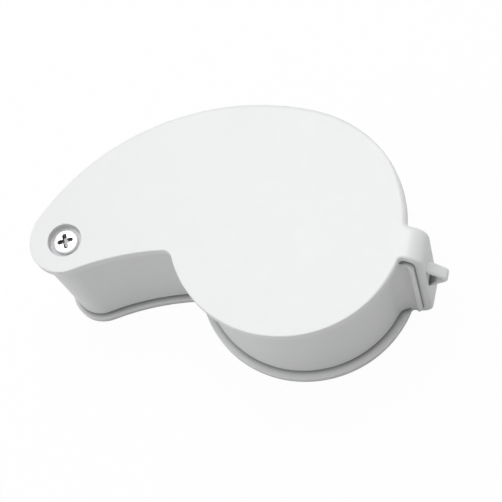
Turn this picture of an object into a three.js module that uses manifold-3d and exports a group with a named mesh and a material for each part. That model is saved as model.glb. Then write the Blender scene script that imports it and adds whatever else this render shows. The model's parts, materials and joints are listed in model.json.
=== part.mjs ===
// Folding illuminated loupe: a drop-shaped lens case swings on a pivot screw
// out of a cast cover made of two thin plates joined by one end web.
// Millimetres, +Z up. The origin is on the lens axis at the cover's underside,
// and +X points from the pivot side towards the lanyard loop.

import * as THREE from "three";
import { mergeVertices } from "three/addons/utils/BufferGeometryUtils.js";
import Module from "manifold-3d";

const wasm = await Module();
wasm.setup();

// Driving dimensions: the whole loupe
const lensRadius = 12.5;
const discRim = 3.8;
const eyeRadius = 4.8;
const pivotMargin = 4.63;
const loupeHeight = 21.5;
const plateThickness = 1.35;
const bellyRadius = 39.44;
const notchRadius = 1.4;

// Driving dimensions: the cover
const edgeRound = 0.3;
const tabWidth = 4.7;
const tabOverhang = 2.85;
const webThickness = 1.15;
const webBendRadius = 2;
const webEdgeRound = 0.45;
const tabFillet = 0.5;
const loopReach = 2.7;
const loopWidth = 1.65;
const loopNoseRadius = 1.2;
const loopBar = 0.8;
const loopRound = 0.3;

// Driving dimensions: the pivot, which lies off the middle of the narrow end
const pivotOffset = 0.3;
const postRadius = 1.9;
const bushWall = 0.8;
const postFlangeRadius = 3;
const postFlangeHeight = 0.6;
const screwHeadRadius = 1.725;
const screwHeadHeight = 0.95;
const screwShankRadius = 0.9;
const screwLength = 6.5;
const screwSlotWidth = 0.42;
const screwSlotDepth = 0.55;
const screwHeadSink = 0.35;
const headRecessRadius = 2.4;
const bossWall = 0.7;
const bossDrop = 1.2;
const washerThickness = 0.3;

// Driving dimensions: the lens case
const caseInset = 1.15;
const eyeInset = 0.7;
const caseWall = 1.2;
const deckThickness = 1.2;
const caseEdgeRound = 0.35;
const gripFillet = 2;
const baseThickness = 1;
const baseRim = 0.6;
const baseScrewHeadRadius = 1;
const baseScrewHeadHeight = 0.6;
const baseScrewRadius = 0.6;
const baseScrewLength = 5;
const screwBossRadius = 1.4;
const screwBossGap = 0.54;

// Driving dimensions: the optics and the lamps
const lensEdge = 1.6;
const lensVertexGap = 0.3;
const lensSeatLip = 1.2;
const lensSeatHeight = 0.8;
const retainingRingHeight = 1;
const retainingRingRecess = 0.4;
const retainingRingLip = 1.1;
const lampRadius = 1.5;
const lampFlange = 0.3;
const lampFlangeHeight = 0.5;
const lampOuterWall = 0.8;
const lampInnerWall = 0.5;
const lampWellWall = 1.45;
const lampRingHeight = 3.2;
const lampRingFlare = 1.3;
const boardThickness = 0.8;
const boardGap = 0.3;

// Driving dimensions: the cells, their tube and the battery cover
const cellRadius = 4.75;
const cellHeight = 2.7;
const cellCount = 3;
const cellRim = 0.35;
const cellRimHeight = 0.3;
const tubeWall = 0.6;
const tubeGap = 0.49;
const tubeShelf = 0.8;
const contactThickness = 0.3;
const dovetailWidth = 0.4;
const springRadius = 3;
const springHeight = 0.6;
const gripGrooveWidth = 0.3;
const gripGroovePitch = 0.9;
const gripGrooveCount = 4;

// Driving dimensions: the switch and the wires
const switchLength = 6.2;
const switchHeight = 3.6;
const switchDepth = 2.4;
const switchTravel = 2;
const switchGap = 2.05;
const switchStemLength = 1.6;
const switchStemHeight = 1.4;
const switchStemDepth = 1.2;
const knobLength = 4.2;
const knobHeight = 3;
const knobProud = 1;
const knobRibCount = 4;
const knobRibDepth = 0.3;
const wireRadius = 0.4;
const wireSides = 8;

// Clearances
const fitGap = 0.1;
const seatGap = 0.05;
const looseGap = 0.3;
const overrun = 1;

// Directions, in degrees from +X
const armAngle = 193.12;
const pivotOffsetAngle = 8;
const crownStart = 30.6;
const crownEnd = 83.8;
const shoulderEnd = 214.3;
const bellyStart = -59.3;
const screwSlotTurn = 24;
const ductAngle = 150;
const cellAngle = 174.85;
const crownScrewAngle = 128.4;
const pivotScrewAngle = 67.4;
const lampAngles = [75, 255];

// Shares of the sizes they follow
const crownShare = 1.1055;
const shoulderShare = 1.2417;
const tabCentreShare = -0.117;
const loopCentreShare = -0.356;
const loopTopShare = 0.79;
const loopEyeTopShare = 0.712;
const loopNoseShare = 0.635;
const loopEyeFootShare = 0.507;
const loopFootShare = 0.45;
const switchRiseShare = 0.5;
const bellyScrewShare = 0.69;
const slotReachShare = 0.65;
const headRoundShare = 0.33;
const wireArchShare = 0.15;

// Facets
const facetLength = 1;
const fineStep = 6;
const coarseStep = 10;
const domeSteps = 6;
const minSides = 16;
const mostSides = 48;

const deg = Math.PI / 180;
const fullTurn = 360;
const halfTurn = 180;
const quarterTurn = 90;

// Heights that the pieces share
const floorTop = plateThickness;
const ceiling = loupeHeight - plateThickness;
const plateGap = washerThickness + 2 * seatGap;
const caseBottom = floorTop + plateGap;
const caseTop = ceiling - plateGap;
const baseTop = caseBottom + baseThickness;
const deckUnder = caseTop - deckThickness;
const discRadius = lensRadius + discRim;
const caseRadius = discRadius - caseInset;
const caseEyeRadius = eyeRadius - eyeInset;

// The arm is as long as the cells' tube between the lens and the pivot needs
const tubeBore = cellRadius + 2 * fitGap;
const tubeRadius = tubeBore + tubeWall;
const cellReach = caseRadius + tubeGap + tubeRadius;
const armLength = cellReach + tubeRadius + pivotMargin;

const lensAxis = new THREE.Vector2(0, 0);
const eyeCentre = toward(lensAxis, armAngle, armLength);
const pivot = toward(eyeCentre, pivotOffsetAngle, pivotOffset);

function toward(from, angle, length) {
  return new THREE.Vector2(from.x + length * Math.cos(angle * deg), from.y + length * Math.sin(angle * deg));
}

function angleOf(from, to) {
  return Math.atan2(to.y - from.y, to.x - from.x) / deg;
}

// Points of an arc from one angle to another, in steps of about `step` degrees
function arc(centre, radius, start, end, step = fineStep) {
  const count = Math.max(1, Math.ceil(Math.abs(end - start) / step));
  const points = [];
  for (let i = 0; i <= count; i += 1) {
    points.push(toward(centre, start + ((end - start) * i) / count, radius));
  }
  return points;
}

function withoutRepeats(points) {
  return points.filter((point, i) => {
    const before = points[(i + points.length - 1) % points.length];
    return point.distanceTo(before) > seatGap / 2;
  });
}

// The centre on the left of a-b that lies at given distances from a and b
function centreBetween(a, distanceA, b, distanceB) {
  const span = a.distanceTo(b);
  const along = (distanceA ** 2 - distanceB ** 2 + span ** 2) / (2 * span);
  const aside = Math.sqrt(Math.max(0, distanceA ** 2 - along ** 2));
  const direction = angleOf(a, b);
  return toward(toward(a, direction, along), direction + quarterTurn, aside);
}

// The plan forms of the cover and of the case
const coverForm = { disc: discRadius, eye: eyeRadius, belly: bellyRadius, notch: notchRadius };
const caseForm = {
  disc: caseRadius,
  eye: caseEyeRadius,
  belly: bellyRadius + eyeInset,
  notch: notchRadius + eyeInset,
};

// The circles of the drop outline: disc, crown, long sweep, shoulder, pivot
// end, hollow belly and a small fillet where the belly meets the disc
function dropCircles(form) {
  const { disc, eye, belly, notch } = form;
  const crown = { radius: disc * crownShare };
  const shoulder = { radius: eye * shoulderShare };
  crown.centre = toward(lensAxis, crownStart, disc - crown.radius);
  shoulder.centre = toward(eyeCentre, shoulderEnd, eye - shoulder.radius);
  const crownTip = toward(crown.centre, crownEnd, crown.radius);
  const reach = shoulder.centre.distanceTo(crownTip);
  const slant = (angleOf(shoulder.centre, crownTip) - crownEnd) * deg;
  const slack = reach * Math.cos(slant) - shoulder.radius;
  const sweep = { radius: (reach ** 2 - shoulder.radius ** 2) / (2 * slack) };
  sweep.centre = toward(crown.centre, crownEnd, crown.radius - sweep.radius);
  sweep.end = (angleOf(sweep.centre, shoulder.centre) + fullTurn) % fullTurn;
  const hollow = { radius: belly, centre: toward(eyeCentre, bellyStart, belly + eye) };
  const fillet = { radius: notch };
  fillet.centre = centreBetween(hollow.centre, belly - notch, lensAxis, disc + notch);
  fillet.onDisc = (angleOf(lensAxis, fillet.centre) + fullTurn) % fullTurn;
  fillet.onHollow = angleOf(hollow.centre, fillet.centre);
  return { crown, sweep, shoulder, hollow, fillet };
}

// The drop outline, whose arcs meet at tangents. `inward` gives the parallel
// curve that lies that far inside.
function dropOutline(form, inward) {
  const { crown, sweep, shoulder, hollow, fillet } = dropCircles(form);
  const bellyEnd = bellyStart + halfTurn;
  return withoutRepeats([
    ...arc(lensAxis, form.disc - inward, fillet.onDisc, crownStart + fullTurn),
    ...arc(crown.centre, crown.radius - inward, crownStart, crownEnd),
    ...arc(sweep.centre, sweep.radius - inward, crownEnd, sweep.end),
    ...arc(shoulder.centre, shoulder.radius - inward, sweep.end, shoulderEnd, coarseStep),
    ...arc(eyeCentre, form.eye - inward, shoulderEnd, bellyStart + fullTurn, coarseStep),
    ...arc(hollow.centre, hollow.radius + inward, bellyEnd, fillet.onHollow, fineStep),
    ...arc(fillet.centre, fillet.radius + inward, fillet.onHollow, fillet.onDisc - halfTurn, 2 * coarseStep),
  ]);
}

// A closed, outward-facing solid from any closed geometry
function solidOf(geometry) {
  const bare = geometry.clone();
  bare.deleteAttribute("normal");
  bare.deleteAttribute("uv");
  const merged = mergeVertices(bare);
  const place = merged.getAttribute("position");
  const index = Array.from(merged.getIndex().array);
  const corner = [new THREE.Vector3(), new THREE.Vector3(), new THREE.Vector3()];
  let volume = 0;
  for (let i = 0; i < index.length; i += 3) {
    corner.forEach((point, k) => point.fromBufferAttribute(place, index[i + k]));
    volume += corner[0].dot(corner[1].cross(corner[2]));
  }
  if (volume < 0) {
    index.reverse();
  }
  const mesh = new wasm.Mesh({
    numProp: 3,
    vertProperties: new Float32Array(place.array),
    triVerts: new Uint32Array(index),
  });
  return new wasm.Manifold(mesh);
}

function geometryOf(solid) {
  const mesh = solid.getMesh();
  const geometry = new THREE.BufferGeometry();
  geometry.setAttribute("position", new THREE.BufferAttribute(new Float32Array(mesh.vertProperties), 3));
  geometry.setIndex(new THREE.BufferAttribute(new Uint32Array(mesh.triVerts), 1));
  geometry.computeVertexNormals();
  return geometry;
}

function joined(...solids) {
  return solids.reduce((all, next) => all.add(next));
}

function cut(solid, ...tools) {
  return tools.reduce((rest, tool) => rest.subtract(tool), solid);
}

// A prism from `low` to `high`, with its rim rounded by `round` where asked
function prism(points, low, high, round = 0) {
  const shape = new THREE.Shape(points);
  const geometry = new THREE.ExtrudeGeometry(shape, {
    depth: high - low - 2 * round,
    steps: 1,
    bevelEnabled: round > 0,
    bevelThickness: round,
    bevelSize: round,
    bevelOffset: -round,
    bevelSegments: 2,
  });
  geometry.translate(0, 0, low + round);
  return solidOf(geometry);
}

// A turned piece on a vertical axis: profile points are (radius, height)
function turned(profile, centre, sides) {
  const closed = profile.map(([radius, height]) => new THREE.Vector2(radius, height));
  if (profile[0][0] !== 0 || profile[profile.length - 1][0] !== 0) {
    closed.push(closed[0].clone());
  }
  const geometry = new THREE.LatheGeometry(closed, sides);
  geometry.rotateX(quarterTurn * deg);
  geometry.translate(centre.x, centre.y, 0);
  return solidOf(geometry);
}

function sidesFor(radius) {
  const quarter = Math.round((Math.PI * radius) / (2 * facetLength));
  return Math.min(mostSides, Math.max(minSides, 4 * quarter));
}

function disc(centre, radius, low, high) {
  return turned([[0, low], [radius, low], [radius, high], [0, high]], centre, sidesFor(radius));
}

function ring(centre, inner, outer, low, high) {
  const profile = [[inner, low], [outer, low], [outer, high], [inner, high]];
  return turned(profile, centre, sidesFor(outer));
}

function block(lowX, highX, lowY, highY, low, high) {
  const geometry = new THREE.BoxGeometry(highX - lowX, highY - lowY, high - low);
  geometry.translate((lowX + highX) / 2, (lowY + highY) / 2, (low + high) / 2);
  return solidOf(geometry);
}

// A profile drawn in X and Z, drawn out along Y
function drawnAlongY(points, lowY, highY, round = 0) {
  const geometry = new THREE.ExtrudeGeometry(new THREE.Shape(points), {
    depth: highY - lowY - 2 * round,
    steps: 1,
    bevelEnabled: round > 0,
    bevelThickness: round,
    bevelSize: round,
    bevelOffset: -round,
    bevelSegments: 2,
  });
  geometry.rotateX(quarterTurn * deg);
  geometry.translate(0, highY - round, 0);
  return solidOf(geometry);
}

function tubeAlong(points, radius) {
  const path = new THREE.CatmullRomCurve3(points);
  const turnStep = fullTurn / wireSides;
  const section = new THREE.Shape(arc(lensAxis, radius, 0, fullTurn - turnStep, turnStep));
  const geometry = new THREE.ExtrudeGeometry(section, {
    steps: 4 * points.length,
    bevelEnabled: false,
    extrudePath: path,
  });
  return solidOf(geometry);
}

// Finishes
const finishes = {
  enamel: { color: 0xe9eaea, roughness: 0.42, metalness: 0.1 },
  casting: { color: 0xc9cbcd, roughness: 0.45, metalness: 0.35 },
  steel: { color: 0xdfe2e4, roughness: 0.22, metalness: 0.9 },
  brass: { color: 0xb89a5a, roughness: 0.35, metalness: 0.85 },
  spring: { color: 0xbfc3c6, roughness: 0.3, metalness: 0.9 },
  anodised: { color: 0x2b2c2f, roughness: 0.4, metalness: 0.5 },
  glass: { color: 0xeaf4f6, roughness: 0.03, metalness: 0, transparent: true, opacity: 0.35 },
  lamp: { color: 0xf4f6fb, roughness: 0.1, metalness: 0, transparent: true, opacity: 0.75 },
  white_plastic: { color: 0xf0f0ec, roughness: 0.5, metalness: 0 },
  black_plastic: { color: 0x232427, roughness: 0.55, metalness: 0 },
  board: { color: 0x1f6b3d, roughness: 0.5, metalness: 0 },
  wire_red: { color: 0xb4262a, roughness: 0.5, metalness: 0 },
  wire_black: { color: 0x1d1d1f, roughness: 0.5, metalness: 0 },
};

const loupe = new THREE.Group();

function addPiece(name, solid, finish) {
  const material = new THREE.MeshStandardMaterial(finishes[finish]);
  const mesh = new THREE.Mesh(geometryOf(solid), material);
  mesh.name = name;
  loupe.add(mesh);
}

// Sizes of the cover's end
const tabReach = discRadius + tabOverhang;
const tabCentre = tabCentreShare * tabWidth;
const tabFront = tabCentre - tabWidth / 2;
const tabBack = tabCentre + tabWidth / 2;
const webInner = tabReach - webThickness;
const tabRoot = discRadius - webBendRadius - webThickness;

// Sizes of the pivot
const bossRadius = headRecessRadius + bossWall;
const bossUnder = ceiling - bossDrop;
const headTop = loupeHeight - screwHeadSink;
const recessFloor = headTop - screwHeadHeight - seatGap;
const bushBore = postRadius + fitGap;
const bushRadius = bushBore + bushWall;
const flangeTop = postFlangeHeight + fitGap;

// The end web bent between the two plates, as one strip with round corners
function endWeb() {
  const outer = webBendRadius;
  const inner = webBendRadius - webThickness;
  const outerLow = new THREE.Vector2(tabReach - outer, outer);
  const outerHigh = new THREE.Vector2(tabReach - outer, loupeHeight - outer);
  const innerLow = new THREE.Vector2(webInner - inner, floorTop + inner);
  const innerHigh = new THREE.Vector2(webInner - inner, ceiling - inner);
  const points = [
    new THREE.Vector2(tabRoot, 0),
    ...arc(outerLow, outer, -quarterTurn, 0, 2 * coarseStep),
    ...arc(outerHigh, outer, 0, quarterTurn, 2 * coarseStep),
    new THREE.Vector2(tabRoot, loupeHeight),
    new THREE.Vector2(tabRoot, ceiling),
    ...arc(innerHigh, inner, quarterTurn, 0, 2 * coarseStep),
    ...arc(innerLow, inner, 0, -quarterTurn, 2 * coarseStep),
    new THREE.Vector2(tabRoot, floorTop),
  ];
  return drawnAlongY(points, tabFront, tabBack, webEdgeRound);
}

// The tab and its round corners: a neck of the tab's width whose sides run
// into the disc in small fillets, between two heights
function neckOnDisc(reach, front, back, radius, fillet, low, high, round = 0) {
  const frontFillet = filletOnDisc(radius, front, -fillet);
  const backFillet = filletOnDisc(radius, back, fillet);
  const inside = radius - 2 * fillet;
  return prism([
    new THREE.Vector2(inside, frontFillet[0].y),
    ...frontFillet,
    new THREE.Vector2(reach, front),
    new THREE.Vector2(reach, back),
    ...backFillet.reverse(),
    new THREE.Vector2(inside, backFillet[0].y),
  ], low, high, round);
}

// The hollow arc, from the disc to the line y, that rounds the corner between
// them. A fillet below zero lies in front of the line.
function filletOnDisc(radius, y, fillet) {
  const reach = radius + Math.abs(fillet);
  const centre = new THREE.Vector2(Math.sqrt(reach ** 2 - (y + fillet) ** 2), y + fillet);
  const start = angleOf(centre, lensAxis) + (fillet < 0 ? 0 : fullTurn);
  const end = fillet < 0 ? quarterTurn : fullTurn - quarterTurn;
  return arc(centre, Math.abs(fillet), start % fullTurn, end, 2 * coarseStep);
}

// The lanyard loop: a three-cornered lug on the web with a round nose and an
// eye of the same form, whose open side is the web itself
function lanyardLoop() {
  const centre = loopCentreShare * tabWidth;
  const nose = new THREE.Vector2(tabReach + loopReach - loopNoseRadius, loupeHeight * loopNoseShare);
  const root = tabReach - webThickness / 2;
  const lug = loopOutline(root, loopTopShare, nose, loopNoseRadius, loopFootShare);
  const eye = loopOutline(tabReach, loopEyeTopShare, nose, loopNoseRadius - loopBar, loopEyeFootShare);
  return cut(
    drawnAlongY(lug, centre - loopWidth / 2, centre + loopWidth / 2, loopRound),
    drawnAlongY(eye, centre - loopWidth, centre + loopWidth),
  );
}

// Two corners on the upright line x = root, and a round nose tangent to the
// lines from them
function loopOutline(root, topShare, nose, radius, footShare) {
  const top = new THREE.Vector2(root, loupeHeight * topShare);
  const foot = new THREE.Vector2(root, loupeHeight * footShare);
  const tangentTurn = (corner) => Math.acos(radius / nose.distanceTo(corner)) / deg;
  const start = angleOf(nose, foot) + tangentTurn(foot);
  const end = angleOf(nose, top) - tangentTurn(top);
  return [foot, ...arc(nose, radius, start, end, 2 * coarseStep), top];
}

function makeCover() {
  const outline = dropOutline(coverForm, 0);
  const body = joined(
    prism(outline, 0, floorTop, edgeRound),
    prism(outline, ceiling, loupeHeight, edgeRound),
    neckOnDisc(tabReach - webBendRadius, tabFront, tabBack, discRadius, tabFillet, 0, floorTop, edgeRound),
    neckOnDisc(tabReach - webBendRadius, tabFront, tabBack, discRadius, tabFillet, ceiling, loupeHeight, edgeRound),
    endWeb(),
    lanyardLoop(),
    disc(pivot, bossRadius, bossUnder, ceiling + edgeRound),
  );
  const cover = cut(
    body,
    disc(pivot, headRecessRadius, recessFloor, loupeHeight + overrun),
    disc(pivot, screwShankRadius + fitGap, bossUnder - overrun, recessFloor + overrun),
    disc(pivot, postFlangeRadius + fitGap, -overrun, flangeTop),
    disc(pivot, postRadius + fitGap, -overrun, floorTop + overrun),
  );
  addPiece("cover", cover, "enamel");
}

function makePivot() {
  const postTop = bossUnder - seatGap;
  const boreDepth = screwLength + fitGap;
  const post = cut(
    joined(disc(pivot, postRadius, fitGap, postTop), disc(pivot, postFlangeRadius, fitGap / 2, postFlangeHeight)),
    disc(pivot, screwShankRadius + fitGap, postTop - boreDepth, postTop + overrun),
  );
  addPiece("pivot_post", post, "steel");

  const headUnder = headTop - screwHeadHeight;
  const domed = [[0, headUnder], [screwHeadRadius, headUnder]];
  const round = screwHeadHeight * headRoundShare;
  domed.push([screwHeadRadius, headTop - round]);
  domed.push([screwHeadRadius - round, headTop - round * headRoundShare]);
  domed.push([0, headTop]);
  const arm = screwHeadRadius * slotReachShare;
  const half = screwSlotWidth / 2;
  let head = turned(domed, pivot, sidesFor(screwHeadRadius));
  for (const turn of [screwSlotTurn, screwSlotTurn + quarterTurn]) {
    const slot = new THREE.BoxGeometry(2 * arm, 2 * half, 2 * screwSlotDepth);
    slot.rotateZ(turn * deg);
    slot.translate(pivot.x, pivot.y, headTop);
    head = cut(head, solidOf(slot));
  }
  const shank = disc(pivot, screwShankRadius, postTop - screwLength, headUnder + screwHeadHeight / 4);
  addPiece("pivot_screw", joined(head, shank), "steel");

  const washerBore = postRadius + fitGap;
  const upperLow = postTop - washerThickness;
  addPiece("upper_washer", ring(pivot, washerBore, bossRadius, upperLow, postTop), "spring");
  const lowerLow = floorTop + seatGap;
  const lower = ring(pivot, washerBore, caseEyeRadius - eyeInset, lowerLow, lowerLow + washerThickness);
  addPiece("lower_washer", lower, "spring");
  const bush = ring(pivot, bushBore, bushRadius, caseBottom + fitGap, upperLow - 2 * seatGap);
  addPiece("pivot_bush", bush, "brass");
}

// Heights of the optical stack: the retaining ring hangs from the top, the
// lamps stand on the base, and the bulges of the lenses fill what lies between
const ringTop = caseTop - retainingRingRecess;
const ringUnder = ringTop - retainingRingHeight;
const upperFlat = ringUnder - seatGap;
const upperEdge = upperFlat - lensEdge;
const lampRingUnder = baseTop + seatGap;
const lampRingTop = lampRingUnder + lampRingHeight;
const boardUnder = lampRingTop + seatGap;
const boardTop = boardUnder + boardThickness;
const seatUnder = boardTop + boardGap;
const seatTop = seatUnder + lensSeatHeight;
const lowerFlat = seatTop + seatGap;
const lowerEdge = lowerFlat + lensEdge;
const lensSag = (upperEdge - lowerEdge - lensVertexGap) / 2;

// Radii about the lens axis
const lensBore = lensRadius + 2 * fitGap;
const lampWell = caseRadius - lampWellWall;
const lampRingOuter = lampWell - 2 * fitGap;
const lampPitchRadius = lampRingOuter - lampOuterWall - lampRadius;
const lampRingBore = lampPitchRadius - lampRadius - lampInnerWall;

// Places in the arm of the case
const cellAxis = toward(lensAxis, cellAngle, cellReach);
const doorHalf = tubeBore + seatGap;
const doorFront = cellAxis.y - doorHalf;
const bellyScrewX = cellAxis.x + doorHalf * bellyScrewShare;
const screwPlaces = [
  toward(lensAxis, crownScrewAngle, caseRadius + screwBossRadius + screwBossGap),
  new THREE.Vector2(bellyScrewX, doorFront - baseScrewHeadRadius - looseGap - fitGap),
  toward(pivot, pivotScrewAngle, caseEyeRadius + screwBossRadius + 2 * screwBossGap),
];
const switchSeat = switchSpot();

// The point of the case's back wall under the switch, which lies beside the
// cells' tube, and the directions out of the wall and along it
function switchSpot() {
  const { sweep } = dropCircles(caseForm);
  const aside = (tubeRadius + switchGap + switchLength / 2) / sweep.radius / deg;
  const angle = angleOf(sweep.centre, cellAxis) - aside;
  const spot = toward(sweep.centre, angle, sweep.radius);
  const aim = spot.clone().sub(sweep.centre).normalize();
  const tangent = new THREE.Vector2(aim.y, -aim.x);
  return { angle, spot, aim, tangent, z: loupeHeight * switchRiseShare };
}

// A block beside the switch's seat: along the wall, outward from it, and up
function atSwitch(length, from, to, height) {
  const geometry = new THREE.BoxGeometry(length, to - from, height);
  geometry.translate(0, (from + to) / 2, 0);
  geometry.rotateZ((switchSeat.angle - quarterTurn) * deg);
  geometry.translate(switchSeat.spot.x, switchSeat.spot.y, switchSeat.z);
  return solidOf(geometry);
}

// The battery cover's track: a strip dovetailed along both sides
function doorStrip(half, front, low, high) {
  const lowHalf = half + (dovetailWidth * (low - caseBottom)) / baseThickness;
  const highHalf = half + (dovetailWidth * (high - caseBottom)) / baseThickness;
  const section = [
    new THREE.Vector2(cellAxis.x - lowHalf, low),
    new THREE.Vector2(cellAxis.x + lowHalf, low),
    new THREE.Vector2(cellAxis.x + highHalf, high),
    new THREE.Vector2(cellAxis.x - highHalf, high),
  ];
  return drawnAlongY(section, front, armLength);
}

// The opening through the barrel's wall that the lamp wire passes
function wireDuct() {
  const geometry = new THREE.BoxGeometry(lampWellWall + 2 * overrun, 4 * wireRadius, 3 * wireRadius);
  geometry.translate((lampWell + caseRadius) / 2, 0, (boardTop + boardUnder) / 2);
  geometry.rotateZ(ductAngle * deg);
  return solidOf(geometry);
}

function makeHousing() {
  const outer = dropOutline(caseForm, 0);
  const inner = dropOutline(caseForm, caseWall);
  const rim = dropOutline(caseForm, baseRim);
  const grip = tabGrip();
  const shell = joined(prism(outer, caseBottom, caseTop, caseEdgeRound), grip);
  const barrel = disc(lensAxis, caseRadius, caseBottom - overrun, loupeHeight);
  const eye = disc(pivot, caseEyeRadius, caseBottom - overrun, loupeHeight);
  const arm = cut(prism(inner, caseBottom - overrun, deckUnder), barrel, eye);
  const rabbet = cut(prism(rim, caseBottom - overrun, baseTop + seatGap), eye);
  const bosses = screwPlaces.map((place) => disc(place, screwBossRadius, baseTop + seatGap, deckUnder + seatGap));
  const holes = screwPlaces.map((place) => {
    return disc(place, baseScrewRadius + fitGap, caseBottom, caseBottom + baseScrewLength + overrun);
  });
  const hollow = cut(shell, arm, rabbet);
  const bossed = joined(hollow, ...bosses);
  const housing = cut(
    bossed,
    ...holes,
    disc(lensAxis, lensBore, seatTop, loupeHeight),
    disc(lensAxis, lensBore - lensSeatLip, caseBottom - overrun, loupeHeight),
    disc(lensAxis, lampWell, caseBottom - overrun, seatUnder),
    disc(pivot, bushRadius + fitGap, caseBottom - overrun, loupeHeight),
    disc(pivot, bossRadius + looseGap, bossUnder - washerThickness - 3 * seatGap, loupeHeight),
    doorStrip(doorHalf + fitGap, cellAxis.y, caseBottom - overrun, baseTop + seatGap),
    atSwitch(switchStemLength + switchTravel + 2 * looseGap, -2 * caseWall, overrun, switchStemHeight + looseGap),
    wireDuct(),
  );
  addPiece("lens_housing", housing, "casting");
}

// The finger grip of the case, under the cover's tab. Large hollow fillets
// lead into it, and its end is an arc about the pivot, so that the case
// swings past the end web and its bends.
function tabGrip() {
  const reach = webInner + overrun;
  const neck = neckOnDisc(reach, tabFront, tabBack, caseRadius, gripFillet, caseBottom, caseTop);
  const nearCorner = new THREE.Vector2(webInner, tabFront);
  const swing = pivot.distanceTo(nearCorner) - looseGap;
  const spread = 3 * gripFillet;
  const startAngle = angleOf(pivot, new THREE.Vector2(webInner, tabFront - spread));
  const endAngle = angleOf(pivot, new THREE.Vector2(webInner, tabBack + spread));
  const end = arc(pivot, swing, startAngle, endAngle, fineStep / 4);
  const sector = prism([lensAxis, ...end], caseBottom - overrun, caseTop + overrun);
  const round = webBendRadius - webThickness + fitGap;
  const tip = toward(pivot, angleOf(pivot, nearCorner), swing).x;
  const high = new THREE.Vector2(tip - round, caseTop - round);
  const low = new THREE.Vector2(tip - round, caseBottom + round);
  const rounded = drawnAlongY([
    new THREE.Vector2(0, caseBottom),
    ...arc(low, round, -quarterTurn, 0, 2 * coarseStep),
    ...arc(high, round, 0, quarterTurn, 2 * coarseStep),
    new THREE.Vector2(0, caseTop),
  ], tabFront - spread, tabBack + spread);
  return neck.intersect(sector).intersect(rounded);
}

function makeBase() {
  const outline = dropOutline(caseForm, baseRim + fitGap);
  const window = lampPitchRadius + lampRadius + fitGap;
  const plate = cut(
    prism(outline, caseBottom, baseTop),
    disc(lensAxis, window, caseBottom - overrun, baseTop + overrun),
    disc(pivot, caseEyeRadius + looseGap, caseBottom - overrun, baseTop + overrun),
    doorStrip(doorHalf + fitGap, doorFront - fitGap, caseBottom - overrun, baseTop + overrun),
    ...screwPlaces.map((place) => baseScrewSink(place)),
  );
  addPiece("housing_base", plate, "casting");
}

function baseScrewSink(place) {
  const low = caseBottom - overrun;
  const sink = caseBottom + baseScrewHeadHeight + 2 * seatGap;
  return joined(
    disc(place, baseScrewHeadRadius + fitGap, low, sink),
    disc(place, baseScrewRadius + fitGap, low, baseTop + overrun),
  );
}

function makeBaseScrews() {
  screwPlaces.forEach((place, i) => {
    const low = caseBottom + seatGap;
    const under = low + baseScrewHeadHeight;
    const head = disc(place, baseScrewHeadRadius, low, under);
    const shank = disc(place, baseScrewRadius, low, low + baseScrewLength);
    const slot = block(
      place.x - baseScrewHeadRadius * slotReachShare,
      place.x + baseScrewHeadRadius * slotReachShare,
      place.y - screwSlotWidth / 2,
      place.y + screwSlotWidth / 2,
      low - overrun,
      low + baseScrewHeadHeight / 2,
    );
    addPiece(`base_screw_${i + 1}`, cut(joined(head, shank), slot), "steel");
  });
}

// A lens with one flat face and one spherical face that bulges towards `tip`
function planoConvex(flat, edge, tip) {
  const sag = Math.abs(tip - edge);
  const domeRadius = lensRadius - lensSeatLip;
  const ball = (domeRadius ** 2 + sag ** 2) / (2 * sag);
  const spread = Math.asin(domeRadius / ball) / deg;
  const way = Math.sign(tip - edge);
  const profile = [[0, flat], [lensRadius, flat], [lensRadius, edge]];
  for (let i = 0; i <= domeSteps; i += 1) {
    const angle = spread * (1 - i / domeSteps) * deg;
    const radius = i === domeSteps ? 0 : ball * Math.sin(angle);
    profile.push([radius, tip - way * ball * (1 - Math.cos(angle))]);
  }
  return turned(profile, lensAxis, sidesFor(lensRadius));
}

function makeOptics() {
  const clear = lensRadius - retainingRingLip;
  const ringProfile = [
    [clear, ringUnder],
    [lensBore - fitGap, ringUnder],
    [lensBore - fitGap, ringTop],
    [clear + retainingRingHeight / 2, ringTop],
  ];
  addPiece("retaining_ring", turned(ringProfile, lensAxis, sidesFor(lensRadius)), "anodised");
  addPiece("upper_lens", planoConvex(upperFlat, upperEdge, upperEdge - lensSag), "glass");
  const spacer = ring(lensAxis, lensRadius - lensSeatLip + seatGap, lensRadius, lowerEdge + seatGap, upperEdge - seatGap);
  addPiece("lens_spacer", spacer, "anodised");
  addPiece("lower_lens", planoConvex(lowerFlat, lowerEdge, lowerEdge + lensSag), "glass");
}

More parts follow.
